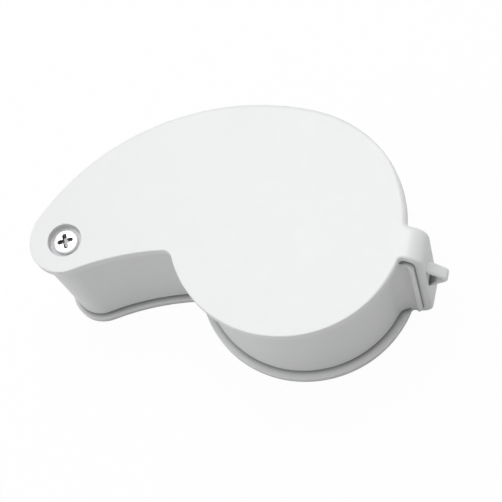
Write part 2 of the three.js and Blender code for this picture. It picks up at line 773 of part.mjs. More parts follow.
function makeLamps() {
  const places = lampAngles.map((angle) => toward(lensAxis, angle, lampPitchRadius));
  const board = ring(lensAxis, lampRingBore + lampRingFlare / 2, lampRingOuter, boardUnder, boardTop);
  addPiece("lamp_board", board, "board");
  const flare = [
    [lampRingBore, lampRingTop],
    [lampRingBore, lampRingTop - boardThickness],
    [lampRingBore + lampRingFlare / 2, lampRingUnder],
    [lampRingOuter, lampRingUnder],
    [lampRingOuter, lampRingTop],
  ];
  const flangeSeat = lampRingTop - lampFlangeHeight - seatGap;
  const sockets = places.map((place) => joined(
    disc(place, lampRadius + fitGap, lampRingUnder - overrun, lampRingTop + overrun),
    disc(place, lampRadius + lampFlange + fitGap, flangeSeat, lampRingTop + overrun),
  ));
  addPiece("lamp_ring", cut(turned(flare, lensAxis, sidesFor(lampRingOuter)), ...sockets), "white_plastic");
  places.forEach((place, i) => {
    const high = lampRingTop - seatGap;
    const shoulder = high - lampFlangeHeight + seatGap;
    const tip = caseBottom + baseThickness / 2;
    const profile = [[0, high], [lampRadius + lampFlange, high], [lampRadius + lampFlange, shoulder]];
    profile.push([lampRadius, shoulder]);
    for (let angle = 0; angle < quarterTurn; angle += 3 * coarseStep) {
      const radius = lampRadius * Math.cos(angle * deg);
      profile.push([radius, tip + lampRadius * (1 - Math.sin(angle * deg))]);
    }
    profile.push([0, tip]);
    addPiece(`lamp_${i + 1}`, turned(profile, place, sidesFor(lampRadius)), "lamp");
  });
}

// Heights of the cell stack, up from the battery cover, in whose inner side
// the spring is sunk, so that both slide out under the lowest cell
const doorTop = baseTop - seatGap;
const springSeat = doorTop - springHeight;
const cellsLow = baseTop + fitGap;
const cellsHigh = cellsLow + cellCount * cellHeight;
const shelfUnder = cellsHigh + contactThickness + 2 * seatGap;
const shelfTop = shelfUnder + tubeShelf;

function makeCells() {
  const tube = cut(
    disc(cellAxis, tubeRadius, baseTop + fitGap, shelfTop),
    disc(cellAxis, tubeBore, baseTop - overrun, shelfUnder),
    disc(cellAxis, 2 * wireRadius, shelfUnder - overrun, shelfTop + overrun),
  );
  addPiece("battery_tube", tube, "black_plastic");
  for (let i = 0; i < cellCount; i += 1) {
    const low = cellsLow + i * cellHeight;
    const high = low + cellHeight - seatGap;
    const step = low + cellRimHeight;
    const profile = [
      [0, low],
      [cellRadius - cellRim - cellRimHeight, low],
      [cellRadius - cellRim - cellRimHeight, step],
      [cellRadius - cellRim, step],
      [cellRadius, step + cellRimHeight],
      [cellRadius, high],
      [0, high],
    ];
    addPiece(`cell_${i + 1}`, turned(profile, cellAxis, sidesFor(cellRadius)), "steel");
  }
  const contact = disc(cellAxis, cellRadius - cellRim, cellsHigh, cellsHigh + contactThickness);
  addPiece("cell_contact", contact, "spring");
}

function makeBatteryCover() {
  const outline = dropOutline(caseForm, 0);
  const slab = prism(outline, caseBottom, doorTop);
  const strip = doorStrip(doorHalf, doorFront, caseBottom, doorTop);
  const springWell = disc(cellAxis, springRadius + fitGap, springSeat, doorTop + overrun);
  const grooves = [];
  for (let i = 0; i < gripGrooveCount; i += 1) {
    const low = cellAxis.y + springRadius + i * gripGroovePitch + 2 * gripGrooveWidth;
    grooves.push(block(
      cellAxis.x - doorHalf / 2,
      cellAxis.x + doorHalf / 2,
      low,
      low + gripGrooveWidth,
      caseBottom - overrun,
      caseBottom + gripGrooveWidth,
    ));
  }
  addPiece("battery_cover", cut(slab.intersect(strip), springWell, ...grooves), "casting");
  const domed = [
    [0, doorTop - contactThickness],
    [springRadius / 2, doorTop - contactThickness],
    [springRadius, springSeat + seatGap],
    [springRadius, springSeat + contactThickness],
    [springRadius / 2, doorTop],
    [0, doorTop],
  ];
  addPiece("cell_spring", turned(domed, cellAxis, sidesFor(springRadius)), "spring");
}

function makeSwitch() {
  const face = -caseWall - looseGap;
  const well = switchStemLength + switchTravel + 2 * fitGap;
  const box = cut(
    atSwitch(switchLength, face - switchDepth, face, switchHeight),
    atSwitch(well, face - switchStemDepth - fitGap, face + overrun, switchStemHeight + 2 * fitGap),
  );
  addPiece("switch_case", box, "black_plastic");
  const knobFace = looseGap + knobProud;
  const knob = atSwitch(knobLength, looseGap, knobFace, knobHeight);
  const stem = atSwitch(switchStemLength, face - switchStemDepth, looseGap + knobProud / 2, switchStemHeight);
  const pitch = knobLength / (knobRibCount + 1);
  const cuts = [];
  for (let i = 1; i <= knobRibCount; i += 1) {
    const rib = new THREE.BoxGeometry(pitch / 2, 2 * knobRibDepth, knobHeight + overrun);
    rib.translate(i * pitch - knobLength / 2, knobFace, 0);
    rib.rotateZ((switchSeat.angle - quarterTurn) * deg);
    rib.translate(switchSeat.spot.x, switchSeat.spot.y, switchSeat.z);
    cuts.push(solidOf(rib));
  }
  const slider = cut(joined(knob, stem), ...cuts);
  const rest = switchSeat.tangent.clone().multiplyScalar(-switchTravel / 2);
  addPiece("switch_slider", slider.translate([rest.x, rest.y, 0]), "black_plastic");
}

// Two insulated wires: cell contact to switch, and switch to lamp board.
// The current returns through the metal case.
function makeWires() {
  const behind = caseWall + looseGap + switchDepth / 2;
  const middle = switchSeat.spot.clone().addScaledVector(switchSeat.aim, -behind);
  const side = switchSeat.tangent.clone().multiplyScalar(switchLength / 4);
  const switchTop = switchSeat.z + switchHeight / 2 + looseGap;
  const switchUnder = switchSeat.z - switchHeight / 2 - looseGap;
  const arch = loupeHeight * wireArchShare;
  const contactTop = cellsHigh + contactThickness + looseGap;
  const half = cellAxis.clone().add(middle).multiplyScalar(1 / 2);
  const feed = [
    new THREE.Vector3(cellAxis.x, cellAxis.y, contactTop),
    new THREE.Vector3(cellAxis.x, cellAxis.y, contactTop + arch / 2),
    new THREE.Vector3(half.x, half.y, contactTop + arch),
    new THREE.Vector3(middle.x - side.x, middle.y - side.y, switchTop + arch / 2),
    new THREE.Vector3(middle.x - side.x, middle.y - side.y, switchTop),
  ];
  addPiece("switch_wire", tubeAlong(feed, wireRadius), "wire_red");
  const level = (boardTop + boardUnder) / 2;
  const mouth = toward(lensAxis, ductAngle, lampRingOuter + looseGap);
  const bend = toward(lensAxis, ductAngle, caseRadius + caseWall);
  const lead = [
    new THREE.Vector3(middle.x - side.x, middle.y - side.y, switchUnder),
    new THREE.Vector3(middle.x - side.x, middle.y - side.y, (switchUnder + level) / 2),
    new THREE.Vector3(bend.x, bend.y, level),
    new THREE.Vector3(mouth.x, mouth.y, level),
  ];
  addPiece("lamp_wire", tubeAlong(lead, wireRadius), "wire_black");
}

makeCover();
makePivot();
makeHousing();
makeBase();
makeBaseScrews();
makeOptics();
makeLamps();
makeCells();
makeBatteryCover();
makeSwitch();
makeWires();

export default loupe;
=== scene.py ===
"""Folding illuminated loupe: its visible pieces, its finishes and a small studio.

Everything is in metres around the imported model. The origin is on the lens axis
at the cover's underside, +X points to the lanyard loop and +Z is up.
"""

import json
import math

import bmesh
import bpy
from bpy.props import FloatProperty, FloatVectorProperty, IntProperty, PointerProperty
from mathutils import Matrix, Vector


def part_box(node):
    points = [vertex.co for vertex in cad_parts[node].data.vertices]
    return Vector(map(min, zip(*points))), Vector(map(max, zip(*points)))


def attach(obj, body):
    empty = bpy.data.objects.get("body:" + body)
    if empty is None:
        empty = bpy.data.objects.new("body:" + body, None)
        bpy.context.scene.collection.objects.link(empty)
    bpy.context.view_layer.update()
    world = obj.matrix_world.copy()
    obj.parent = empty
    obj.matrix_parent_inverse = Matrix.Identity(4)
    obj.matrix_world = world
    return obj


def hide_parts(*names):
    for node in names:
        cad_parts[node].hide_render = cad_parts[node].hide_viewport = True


bl_info = {
    "name": "Folding illuminated loupe",
    "version": (1, 0, 0),
    "blender": (4, 5, 0),
    "location": "View3D > Sidebar > Loupe",
    "description": "Builds the visible pieces, finishes and studio of a folding illuminated loupe",
    "category": "Object",
}

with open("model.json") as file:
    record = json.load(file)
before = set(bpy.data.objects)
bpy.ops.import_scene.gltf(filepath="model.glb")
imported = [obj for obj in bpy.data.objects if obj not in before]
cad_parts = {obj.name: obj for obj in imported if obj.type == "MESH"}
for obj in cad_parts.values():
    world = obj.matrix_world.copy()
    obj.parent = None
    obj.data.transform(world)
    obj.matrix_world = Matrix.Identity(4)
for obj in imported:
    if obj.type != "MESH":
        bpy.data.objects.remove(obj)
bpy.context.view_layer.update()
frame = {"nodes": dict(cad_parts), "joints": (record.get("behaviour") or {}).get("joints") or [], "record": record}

MM = 0.001
UP = Vector((0, 0, 1))
TO_FRONT = Vector((0, -1, 0))
LENS_AXIS = Vector((0, 0, 0))
AWAY = Vector((-0.67, 0.743, 0))  # about the way that the camera looks, seen from above
FINISH = "_finish"
HALF_TURN = math.pi
QUARTER_TURN = math.pi / 2
FULL_TURN = 2 * math.pi

ARC_STEP = math.radians(3)
SHARP = math.radians(32)
FLAT = math.radians(0.5)
LEVEL = 0.9  # an upright part of a normal whose face is nearly level
WELD = 0.001 * MM
FIT = 0.05 * MM  # gap between pieces that fit
NEAR = 0.1 * MM  # close enough to lie on a face
CLEAR = 1 * MM  # how far a cutting tool goes beyond what it cuts
FAR = 60 * MM  # beyond every side of the loupe

RECORD = frame["record"]
BODY_OF = {node: body for body, nodes in RECORD["behaviour"]["bodies"].items() for node in nodes}
SLOT_OF = {part["node"]: part["material_slot"] for part in RECORD["subparts"]}


def length(label, tip, millimetres):
    """A length in metres that the sidebar shows in the scene's units."""
    return FloatProperty(
        name=label, description=tip, default=millimetres * MM, min=0, unit="LENGTH", precision=5
    )


def turn(label, tip, degrees):
    """An angle that the sidebar shows in degrees."""
    return FloatProperty(
        name=label, description=tip, default=math.radians(degrees), unit="ROTATION"
    )


def share(label, tip, value):
    """A part of some other size or of full brightness."""
    return FloatProperty(
        name=label, description=tip, default=value, min=0, max=2, precision=3, subtype="FACTOR"
    )


def power(label, tip, watts):
    """The power of a lamp."""
    return FloatProperty(name=label, description=tip, default=watts, min=0, unit="POWER")


def focal(label, tip, millimetres):
    """A length inside the camera."""
    return FloatProperty(name=label, description=tip, default=millimetres, min=10, unit="CAMERA")


def vector(label, tip, value, subtype):
    """A place, a direction or a set of angles."""
    return FloatVectorProperty(
        name=label, description=tip, default=value, size=3, precision=5, subtype=subtype
    )


def colour(label, tip, value):
    """A linear colour."""
    return FloatVectorProperty(
        name=label, description=tip, default=value, size=3, min=0, max=1, subtype="COLOR"
    )


class DropSizes(bpy.types.PropertyGroup):
    """The plan form that the cover and the case share."""

    disc: length("Disc radius", "Radius of the cover's round end about the lens axis", 16.3)
    eye: length("Eye radius", "Radius of the cover's narrow end about the pivot", 4.8)
    belly: length("Belly radius", "Radius of the hollow front side", 39.44)
    notch: length("Notch radius", "Radius of the fillet where the belly meets the disc", 1.4)
    axis_offset: length("Axis offset", "Distance of the pivot from the narrow end's middle", 0.3)
    axis_way: turn("Axis direction", "Direction in which the pivot lies off that middle", 8)
    case_inset: length("Case inset", "How far the case's disc lies inside the cover's", 1.15)
    eye_inset: length("Eye inset", "How far the case's narrow end lies inside the cover's", 0.7)
    crown_share: share("Crown share", "Crown radius as a share of the disc radius", 1.1055)
    shoulder_share: share("Shoulder share", "Shoulder radius as a share of the eye radius", 1.2417)
    crown_start: turn("Crown start", "Direction where the crown leaves the disc", 30.6)
    crown_end: turn("Crown end", "Direction where the crown meets the long sweep", 83.8)
    shoulder_end: turn("Shoulder end", "Direction where the shoulder meets the narrow end", 214.3)
    belly_start: turn("Belly start", "Direction where the narrow end meets the belly", -59.3)


class CoverSizes(bpy.types.PropertyGroup):
    """The cast cover: two plates, the end web, the lanyard loop and the recess."""

    height: length("Height", "Height over both plates", 21.5)
    plate: length("Plate thickness", "Thickness of each plate", 1.35)
    near_round: length("Near round", "Rounding along the plates' rims on the belly side", 0.18)
    far_round: length("Far round", "Rounding along the plates' rims on the back side", 0.7)
    web_round: length("Web round", "Rounding along the web's outer edges at the back", 0.8)
    lug_round: length("Lug side round", "Rounding along the web's edges beside the loop", 0.36)
    loop_round: length("Loop round", "Rounding along the edges of the lanyard loop", 0.33)
    inner_round: length("Inner round", "Rounding along the inner edges of the web", 0.06)
    recess_round: length("Recess round", "Rounding along the edges of the recess", 0.1)
    tab_front: length("Tab front", "Distance from the lens axis to the tab's front side", 2.9)
    tab_back: length("Tab back", "Distance from the lens axis to the tab's back side", 1.8)
    tab_reach: length("Tab reach", "Distance from the lens axis to the web's outer face", 19.15)
    tab_fillet: length("Tab fillet", "Fillet between the disc and the tab", 0.5)
    web: length("Web thickness", "Thickness of the end web", 1.35)
    bend: length("Web bend", "Outer radius of the bends of the web", 2.6)
    loop_reach: length("Loop reach", "How far the lanyard loop stands out from the web", 2.7)
    loop_width: length("Loop width", "Width of the lanyard loop", 1.65)
    loop_nose: length("Loop nose", "Radius of the loop's nose", 1.2)
    loop_bar: length("Loop bar", "Thickness of the loop round its eye", 0.7)
    loop_middle: length("Loop middle", "How far the loop's middle is in front of the axis", 1.673)
    loop_top: length("Loop top", "Height of the loop's upper corner", 16.985)
    eye_top: length("Eye top", "Height of the eye's upper corner", 15.31)
    nose_rise: length("Nose height", "Height of the loop's nose", 13.65)
    eye_foot: length("Eye foot", "Height of the eye's lower corner", 10.9)
    loop_foot: length("Loop foot", "Height of the loop's lower corner", 9.675)
    recess: length("Recess radius", "Radius of the recess round the pivot screw's head", 2.4)
    recess_depth: length("Recess depth", "Depth of that recess", 1.15)
    boss: length("Boss radius", "Radius of the boss under the recess", 3.1)
    shank_hole: length("Shank hole radius", "Radius of the hole for the screw's shank", 1)
    post_hole: length("Post hole radius", "Radius of the hole for the pivot post", 2)
    flange_hole: length("Flange hole radius", "Radius of the sink for the post's flange", 3.1)
    flange_depth: length("Flange depth", "Depth of the sink for the post's flange", 0.7)
    front_start: length("Front start", "Where the front rims start, along X from the pivot", 10)
    rim_start: share("Rim start", "Share of the far round on rims that face sideways", 0.2)
    rim_growth: share("Rim growth", "How fast that share grows as rims face away", 1.3)
    tab_fade_start: turn("Tab fade start", "Direction off the tab where its rounds start", 46)
    tab_fade: turn("Tab fade", "Turn over which the tab's rounds come in", 30)
    inner_share: share("Inner share", "Share of plate and web beyond which an edge is inner", 0.9)
    # how much of the painted shade the recess round the screw's head is spared
    shade_spared_share: share("Clean share", "How free of dirt the recess stays", 0.84)


class CaseSizes(bpy.types.PropertyGroup):
    """The lens case that swings between the plates."""

    rim_round: length("Rim round", "Rounding along the rims of the case", 0.35)
    bore_round: length("Bore round", "Rounding along the bores and the foot", 0.35 / 3)
    grip_rim: length("Grip rim", "Rounding along the rims of the grip", 0.5)
    wall: length("Wall", "Thickness of the arm's wall", 1.2)
    deck: length("Deck", "Thickness of the arm's roof", 1.2)
    base: length("Base thickness", "Thickness of the base plate", 1)
    base_rim: length("Base rim", "Width of the rim round the base plate", 0.6)
    grip_fillet: length("Grip fillet", "Hollow fillet between the barrel and the finger grip", 1.8)
    grip_gap: length("Grip gap", "Gap between the grip and the web", 0.03)
    grip_out: length("Grip bulge", "How far the grip stands out in front of the tab", 0.35)
    grip_lip: length("Grip lip", "How far the grip's lip stands out beyond that", 0.4)
    grip_flare: turn("Grip flare", "How far the hollow turns out towards the lip", 28)
    foot_gap: length("Foot gap", "Gap between the shell's foot and the rest face", 0.12)
    grip_round: length("Grip round", "Rounding of the grip's end under the web's bends", 1.15)
    cheek_round: length("Cheek round", "Rounding of the grip's upright corner", 0.45)
    lens_bore: length("Lens bore", "Radius of the bore that holds the lenses", 12.7)
    lens_lip: length("Lens lip", "Width of the seat under the lower lens", 1.2)
    lamp_well: length("Lamp well", "Radius of the well for the lamps", 13.7)
    pivot_bore: length("Pivot bore", "Radius of the bore for the bush", 2.9)
    boss_bore: length("Boss bore", "Radius of the sink for the cover's boss", 3.4)
    board_gap: length("Board gap", "Gap over the lamps' board", 0.3)
    washer_gap: length("Washer gap", "Gap under the upper washer", 0.1)
    door_half: length("Door half", "Half of the battery cover's width", 5.1)
    slot_length: length("Switch slot length", "Length of the slot for the switch's stem", 4.2)
    slot_depth: length("Switch slot depth", "How deep that slot is cut", 8)
    slot_height: length("Switch slot height", "Height of that slot", 1.7)


class ScrewSizes(bpy.types.PropertyGroup):
    """The cross-slotted pivot screw and the base plate's slotted screws."""

    head: length("Pivot head", "Thickness of the pivot screw's head", 0.75)
    shank: length("Pivot shank", "Radius of the pivot screw's shank", 0.9)
    tip: length("Pivot tip", "Chamfer of the pivot screw's tip", 0.36)
    cross_reach: length("Cross reach", "Reach of the cross from the screw's middle", 1.2)
    cross_half: length("Cross half", "Half of the width of the cross's arms", 0.33)
    cross_depth: length("Cross depth", "Depth of the cross", 0.6)
    cross_way: turn("Cross direction", "Direction of the cross's first arm", 24)
    cross_above: length("Cross above", "How far the cross is cut above the head", 0.06)
    cross_taper: share("Cross taper", "Length of the cross at its bottom as a share", 0.6)
    cross_narrowing: share("Cross narrowing", "Width of the cross there as a share", 0.7)
    pan: length("Base head", "Thickness of the base screws' heads", 0.6)
    shank_share: share("Base shank", "Shank as a share of the base screws' heads", 0.6)
    slot: length("Slot width", "Width of the base screws' slots", 0.42)
    slot_depth: length("Slot depth", "Depth of the base screws' slots", 0.3)
    slot_way: turn("Slot direction", "Direction of the base screws' slots", 34.3775)
    edge: length("Edge", "Rounding of the screws' edges", 0.05)


class OpticSizes(bpy.types.PropertyGroup):
    """The retaining ring, the lenses and the lamps."""

    ring_width: length("Ring width", "Width of the retaining ring", 1.2)
    ring_edge: length("Ring edge", "Chamfer of the ring's outer edge", 0.12)
    ring_land: length("Ring land", "Width from the ring's bore to its top", 0.5)
    ring_step: length("Ring step", "Width from the ring's bore to its cone", 0.35)
    ring_step_depth: length("Ring step depth", "Depth of that step", 0.1)
    ring_cone: length("Ring cone", "Depth of the ring's cone", 0.7)
    notch_width: length("Notch width", "Width of the ring's spanner notches", 1.2)
    notch_depth: length("Notch depth", "Depth of the ring's spanner notches", 0.45)
    notch_way: turn("Notch direction", "Direction of the ring's spanner notches", 40)
    lens_edge: length("Lens edge", "Thickness of the lenses at their edge", 1.6)
    lens_rim: length("Lens rim", "Width of the rim round the lenses' domes", 1.2)
    lens_bevel: length("Lens bevel", "Bevel of the lenses' flat side", 0.12)
    lamp_flange: length("Lamp flange", "Width of the lamps' flange", 0.3)
    lamp_foot: length("Lamp foot", "Thickness of the lamps' flange", 0.5)
    edge: length("Edge", "Rounding of the edges of lenses and lamps", 0.05)


class FinishColours(bpy.types.PropertyGroup):
    """The colours of the finishes."""

    enamel: colour("Pearl enamel", "The cover's satin enamel", (0.83, 0.835, 0.84))
    casting: colour("Silver paint", "The case's satin silver paint", (0.8, 0.805, 0.81))
    nickel: colour("Nickel", "Plated screws and cells", (0.9, 0.9, 0.9))
    spring: colour("Spring steel", "Washers, contact and spring", (0.6, 0.61, 0.62))
    brass: colour("Brass", "The pivot bush", (0.72, 0.53, 0.25))
    anodised: colour("Black anodising", "The lens ring and spacer", (0.018, 0.018, 0.02))
    glass: colour("Lens glass", "The two lenses", (0.97, 0.99, 0.985))
    epoxy: colour("Lamp epoxy", "The two lamps", (0.95, 0.96, 0.98))
    white: colour("White plastic", "The lamp ring", (0.8, 0.8, 0.78))
    black: colour("Black plastic", "The switch and the battery tube", (0.02, 0.02, 0.022))
    laminate: colour("Laminate", "The lamps' board", (0.03, 0.16, 0.07))
    red: colour("Red insulation", "The wire from the cells", (0.5, 0.02, 0.02))
    jet: colour("Black insulation", "The wire to the lamps", (0.02, 0.02, 0.02))


class StudioSettings(bpy.types.PropertyGroup):
    """The camera, the lamps and the floor."""

    lens: focal("Focal length", "Focal length of the camera", 98.35)
    sensor: focal("Sensor width", "Width of the camera's sensor", 36)
    place: vector("Place", "Place of the camera", (0.0429, -0.06395, 0.18923), "TRANSLATION")
    tilt: turn("Tilt", "Turn of the camera about X", 21.642)
    roll: turn("Roll", "Turn of the camera about Y", 11.023)
    pan: turn("Pan", "Turn of the camera about Z", 12.581)
    overhead: power("Overhead power", "Power of the overhead softbox", 0.9)
    left: power("Left power", "Power of the softbox on the left", 0.55)
    right: power("Right power", "Power of the softbox on the right", 0.03)
    ambient: share("Ambient", "Brightness of the room's bright side as light", 0.69)
    ambient_low: share("Ambient low", "Share of that on the room's dark side", 0.25)
    ambient_from: vector(
        "Ambient direction", "Where the room is brightest", (-0.55, 0.3, 0.78), "DIRECTION"
    )
    floor_glow: share("Floor glow", "Share of plain white in the floor that shows", 0.96)
    floor_bounce: share("Floor bounce", "Brightness of the floor as light", 0.75)
    floor_tone: share("Floor tone", "Brightness of the floor that shows", 0.9)
    floor_radius: length("Floor radius", "Radius of the floor", 1500)
    floor_sides: IntProperty(
        name="Floor sides", description="Sides of the floor's edge", default=64, min=8
    )


# The place of each softbox, and its width and depth, in metres
SOFTBOXES = {
    "overhead": ((-0.05, 0.14, 0.48), (0.3, 0.26)),
    "left": ((-0.5, -0.25, 0.25), (0.35, 0.35)),
    "right": ((0.5, -0.15, 0.25), (0.3, 0.35)),
}

# The domes of the screws' heads: shares of the head's radius, and millimetres below its top
HEAD_DOME = ((1, 0.2), (0.99, 0.12), (0.96, 0.07), (0.9, 0.04), (0.7, 0.02), (0.4, 0.01), (0, 0))
PAN_DOME = ((0, 0), (0.7, 0), (0.93, 0.06), (1, 0.2))


# Plane geometry


def toward(start, angle, distance):
    """The point at a distance from another, level with it."""
    return start + distance * Vector((math.cos(angle), math.sin(angle), 0))


def angle_of(start, end):
    """The direction from one point to another, seen from above."""
    return math.atan2(end.y - start.y, end.x - start.x)


def centre_between(a, distance_a, b, distance_b):
    """The centre on the left of a-b that lies at given distances from a and b."""
    span = (b - a).length
    along = (distance_a**2 - distance_b**2 + span**2) / (2 * span)
    aside = math.sqrt(max(0, distance_a**2 - along**2))
    direction = angle_of(a, b)
    return toward(toward(a, direction, along), direction + QUARTER_TURN, aside)


class Pen:
    """Draws a flat outline in a bmesh by spinning and extruding its last point."""

    def __init__(self, start, axis):
        self.bm = bmesh.new()
        self.axis = axis
        self.start = Vector(start)
        self.tip = self.bm.verts.new(start)

    def arc(self, centre, angle):
        """Goes round a centre, counter-clockwise about the pen's axis."""
        steps = max(2, math.ceil(abs(angle) / ARC_STEP))
        spun = bmesh.ops.spin(
            self.bm, geom=[self.tip], cent=centre, axis=self.axis, angle=angle, steps=steps,
            use_merge=False, use_duplicate=False,
        )
        self.tip = spun["geom_last"][0]

    def line(self, point):
        """Goes straight to a point."""
        self.tip = bmesh.ops.extrude_vert_indiv(self.bm, verts=[self.tip])["verts"][0]
        self.tip.co = point

    def side_line(self, x, z):
        """Goes straight to a point of the upright section that the pen started in."""
        self.line(Vector((x, self.start.y, z)))

    def side_arc(self, x, z, angle):
        """Goes round a centre in the upright section that the pen started in."""
        self.arc(Vector((x, self.start.y, z)), angle)

    def drawn_out(self, way):
        """Closes the outline and draws it out into a solid."""
        self.line(self.start)
        bmesh.ops.remove_doubles(self.bm, verts=self.bm.verts, dist=WELD)
        bmesh.ops.edgeloop_fill(self.bm, edges=self.bm.edges)
        made = bmesh.ops.extrude_face_region(self.bm, geom=self.bm.faces[:])["geom"]
        bmesh.ops.translate(self.bm, verts=only(made, bmesh.types.BMVert), vec=way)
        bmesh.ops.recalc_face_normals(self.bm, faces=self.bm.faces)
        return self.bm


def only(geometry, kind):
    """The elements of one kind."""
    return [element for element in geometry if isinstance(element, kind)]


def eased(part):
    """A share kept between 0 and 1 that starts and ends without a jerk."""
    part = min(1, max(0, part))
    return part * part * (3 - 2 * part)


class Drop:
    """The drop-shaped plan form: circles that meet at tangents."""

    def __init__(self, sizes, inset=0, eye_inset=0):
        axis = middle_of("pivot_screw")[0]
        narrow = toward(axis, sizes.axis_way + HALF_TURN, sizes.axis_offset)
        self.narrow = narrow
        self.disc = sizes.disc - inset
        self.eye = eye = sizes.eye - eye_inset
        belly = sizes.belly + eye_inset
        notch = sizes.notch + eye_inset
        crown = self.disc * sizes.crown_share
        shoulder = eye * sizes.shoulder_share
        self.crown_start, self.crown_end = sizes.crown_start, sizes.crown_end
        self.shoulder_end, self.belly_start = sizes.shoulder_end, sizes.belly_start
        self.crown_centre = toward(LENS_AXIS, self.crown_start, self.disc - crown)
        self.shoulder_centre = toward(narrow, self.shoulder_end, eye - shoulder)
        crown_tip = toward(self.crown_centre, self.crown_end, crown)
        reach = (crown_tip - self.shoulder_centre).length
        slant = angle_of(self.shoulder_centre, crown_tip) - self.crown_end
        slack = reach * math.cos(slant) - shoulder
        sweep = (reach**2 - shoulder**2) / (2 * slack)
        self.sweep_centre = toward(self.crown_centre, self.crown_end, crown - sweep)
        self.sweep_end = angle_of(self.sweep_centre, self.shoulder_centre) % FULL_TURN
        self.hollow_centre = toward(narrow, self.belly_start, belly + eye)
        self.notch_centre = centre_between(
            self.hollow_centre, belly - notch, LENS_AXIS, self.disc + notch
        )
        self.on_disc = angle_of(LENS_AXIS, self.notch_centre) % FULL_TURN
        self.on_hollow = angle_of(self.hollow_centre, self.notch_centre)

    def beside_disc(self, y, fillet):
        """The centre, at a given y, of a fillet against the disc."""
        return Vector((math.sqrt((self.disc + fillet) ** 2 - y**2), y, 0))

    def pen(self, low, inward=0, neck=None):
        """A pen that has drawn the outline, or a parallel curve that far inside.

        neck is the front and back of a neck on the disc, its fillet, and a
        function that draws its end.
        """

        def at(point):
            return point + Vector((0, 0, low))

        pen = Pen(at(toward(LENS_AXIS, self.on_disc, self.disc - inward)), UP)
        angle = self.on_disc
        if neck:
            front, back, fillet, draw_end = neck
            front_centre = self.beside_disc(-front - fillet, fillet)
            back_centre = self.beside_disc(back + fillet, fillet)
            front_angle = angle_of(LENS_AXIS, front_centre)
            back_angle = angle_of(LENS_AXIS, back_centre)
            pen.arc(at(LENS_AXIS), front_angle + FULL_TURN - angle)
            pen.arc(at(front_centre), -(QUARTER_TURN + front_angle))
            draw_end(pen, at)
            pen.line(at(back_centre - Vector((0, fillet, 0))))
            pen.arc(at(back_centre), back_angle - QUARTER_TURN)
            angle = back_angle + FULL_TURN
        pen.arc(at(LENS_AXIS), self.crown_start + FULL_TURN - angle)
        pen.arc(at(self.crown_centre), self.crown_end - self.crown_start)
        pen.arc(at(self.sweep_centre), self.sweep_end - self.crown_end)
        pen.arc(at(self.shoulder_centre), self.shoulder_end - self.sweep_end)
        pen.arc(at(self.narrow), self.belly_start + FULL_TURN - self.shoulder_end)
        pen.arc(at(self.hollow_centre), self.on_hollow - self.belly_start - HALF_TURN)
        pen.arc(at(self.notch_centre), self.on_disc - HALF_TURN - self.on_hollow)
        return pen

    def prism(self, low, high, inward=0, neck=None):
        """The outline drawn out between two heights."""
        return self.pen(low, inward, neck).drawn_out(Vector((0, 0, high - low)))


# Solids


def mesh_of(data):
    """A bmesh of a mesh, with the vertices that share a place merged."""
    bm = bmesh.new()
    bm.from_mesh(data)
    bmesh.ops.remove_doubles(bm, verts=bm.verts, dist=WELD)
    return bm


def solid(name, bm):
    """An object at the origin from a bmesh, which it uses up."""
    mesh = bpy.data.meshes.new(name)
    bm.to_mesh(mesh)
    bm.free()
    piece = bpy.data.objects.new(name, mesh)
    bpy.context.scene.collection.objects.link(piece)
    return piece


def freed(piece):
    """The bmesh of an object, which it takes away."""
    bm = bmesh.new()
    bm.from_mesh(piece.data)
    bpy.data.objects.remove(piece)
    return bm


def drum(centre, radius, low, high, sides=96):
    """A bmesh of an upright cylinder."""
    bm = bmesh.new()
    bmesh.ops.create_cone(
        bm, cap_ends=True, segments=sides, radius1=radius, radius2=radius, depth=high - low
    )
    bmesh.ops.translate(bm, verts=bm.verts, vec=(centre.x, centre.y, (low + high) / 2))
    return bm


def put(bm, place, angle=0):
    """Turns a bmesh about the lens axis and then moves it to its place."""
    bmesh.ops.rotate(bm, verts=bm.verts, cent=LENS_AXIS, matrix=Matrix.Rotation(angle, 3, "Z"))
    bmesh.ops.translate(bm, verts=bm.verts, vec=place)
    return bm


def block(centre, size, angle=0):
    """A bmesh of a box about a centre, turned about the upright through it."""
    bm = bmesh.new()
    bmesh.ops.create_cube(bm, size=1)
    bmesh.ops.scale(bm, verts=bm.verts, vec=size)
    return put(bm, centre, angle)


def revolved(bm, centre, sides):
    """Turns the outline in a bmesh into a solid about an upright."""
    bmesh.ops.spin(
        bm, geom=bm.verts[:] + bm.edges[:], cent=(centre.x, centre.y, 0), axis=UP,
        angle=FULL_TURN, steps=sides, use_merge=True, use_duplicate=False,
    )
    bmesh.ops.remove_doubles(bm, verts=bm.verts, dist=WELD)
    bmesh.ops.recalc_face_normals(bm, faces=bm.faces)
    return bm


def turned(centre, profile, sides=96):
    """A bmesh turned about an upright: the profile is (radius, height) points."""
    bm = bmesh.new()
    points = [bm.verts.new((centre.x + radius, centre.y, height)) for radius, height in profile]
    closed = points[:1] if profile[0][0] > 0 and profile[-1][0] > 0 else []
    for pair in zip(points, points[1:] + closed):
        bm.edges.new(pair)
    return revolved(bm, centre, sides)


def settled(piece):
    """Puts what the piece's modifiers make into its mesh."""
    graph = bpy.context.evaluated_depsgraph_get()
    mesh = bpy.data.meshes.new_from_object(piece.evaluated_get(graph))
    piece.modifiers.clear()
    piece.data = mesh


def shaped(piece, operation, *tools):
    """Cuts the tools out of the piece, joins them to it, or keeps what they share."""
    for bm in tools:
        tool = solid("tool", bm)
        cut = piece.modifiers.new("shape", "BOOLEAN")
        cut.solver = "MANIFOLD"
        cut.operation = operation
        cut.object = tool
        settled(piece)
        bpy.data.objects.remove(tool)


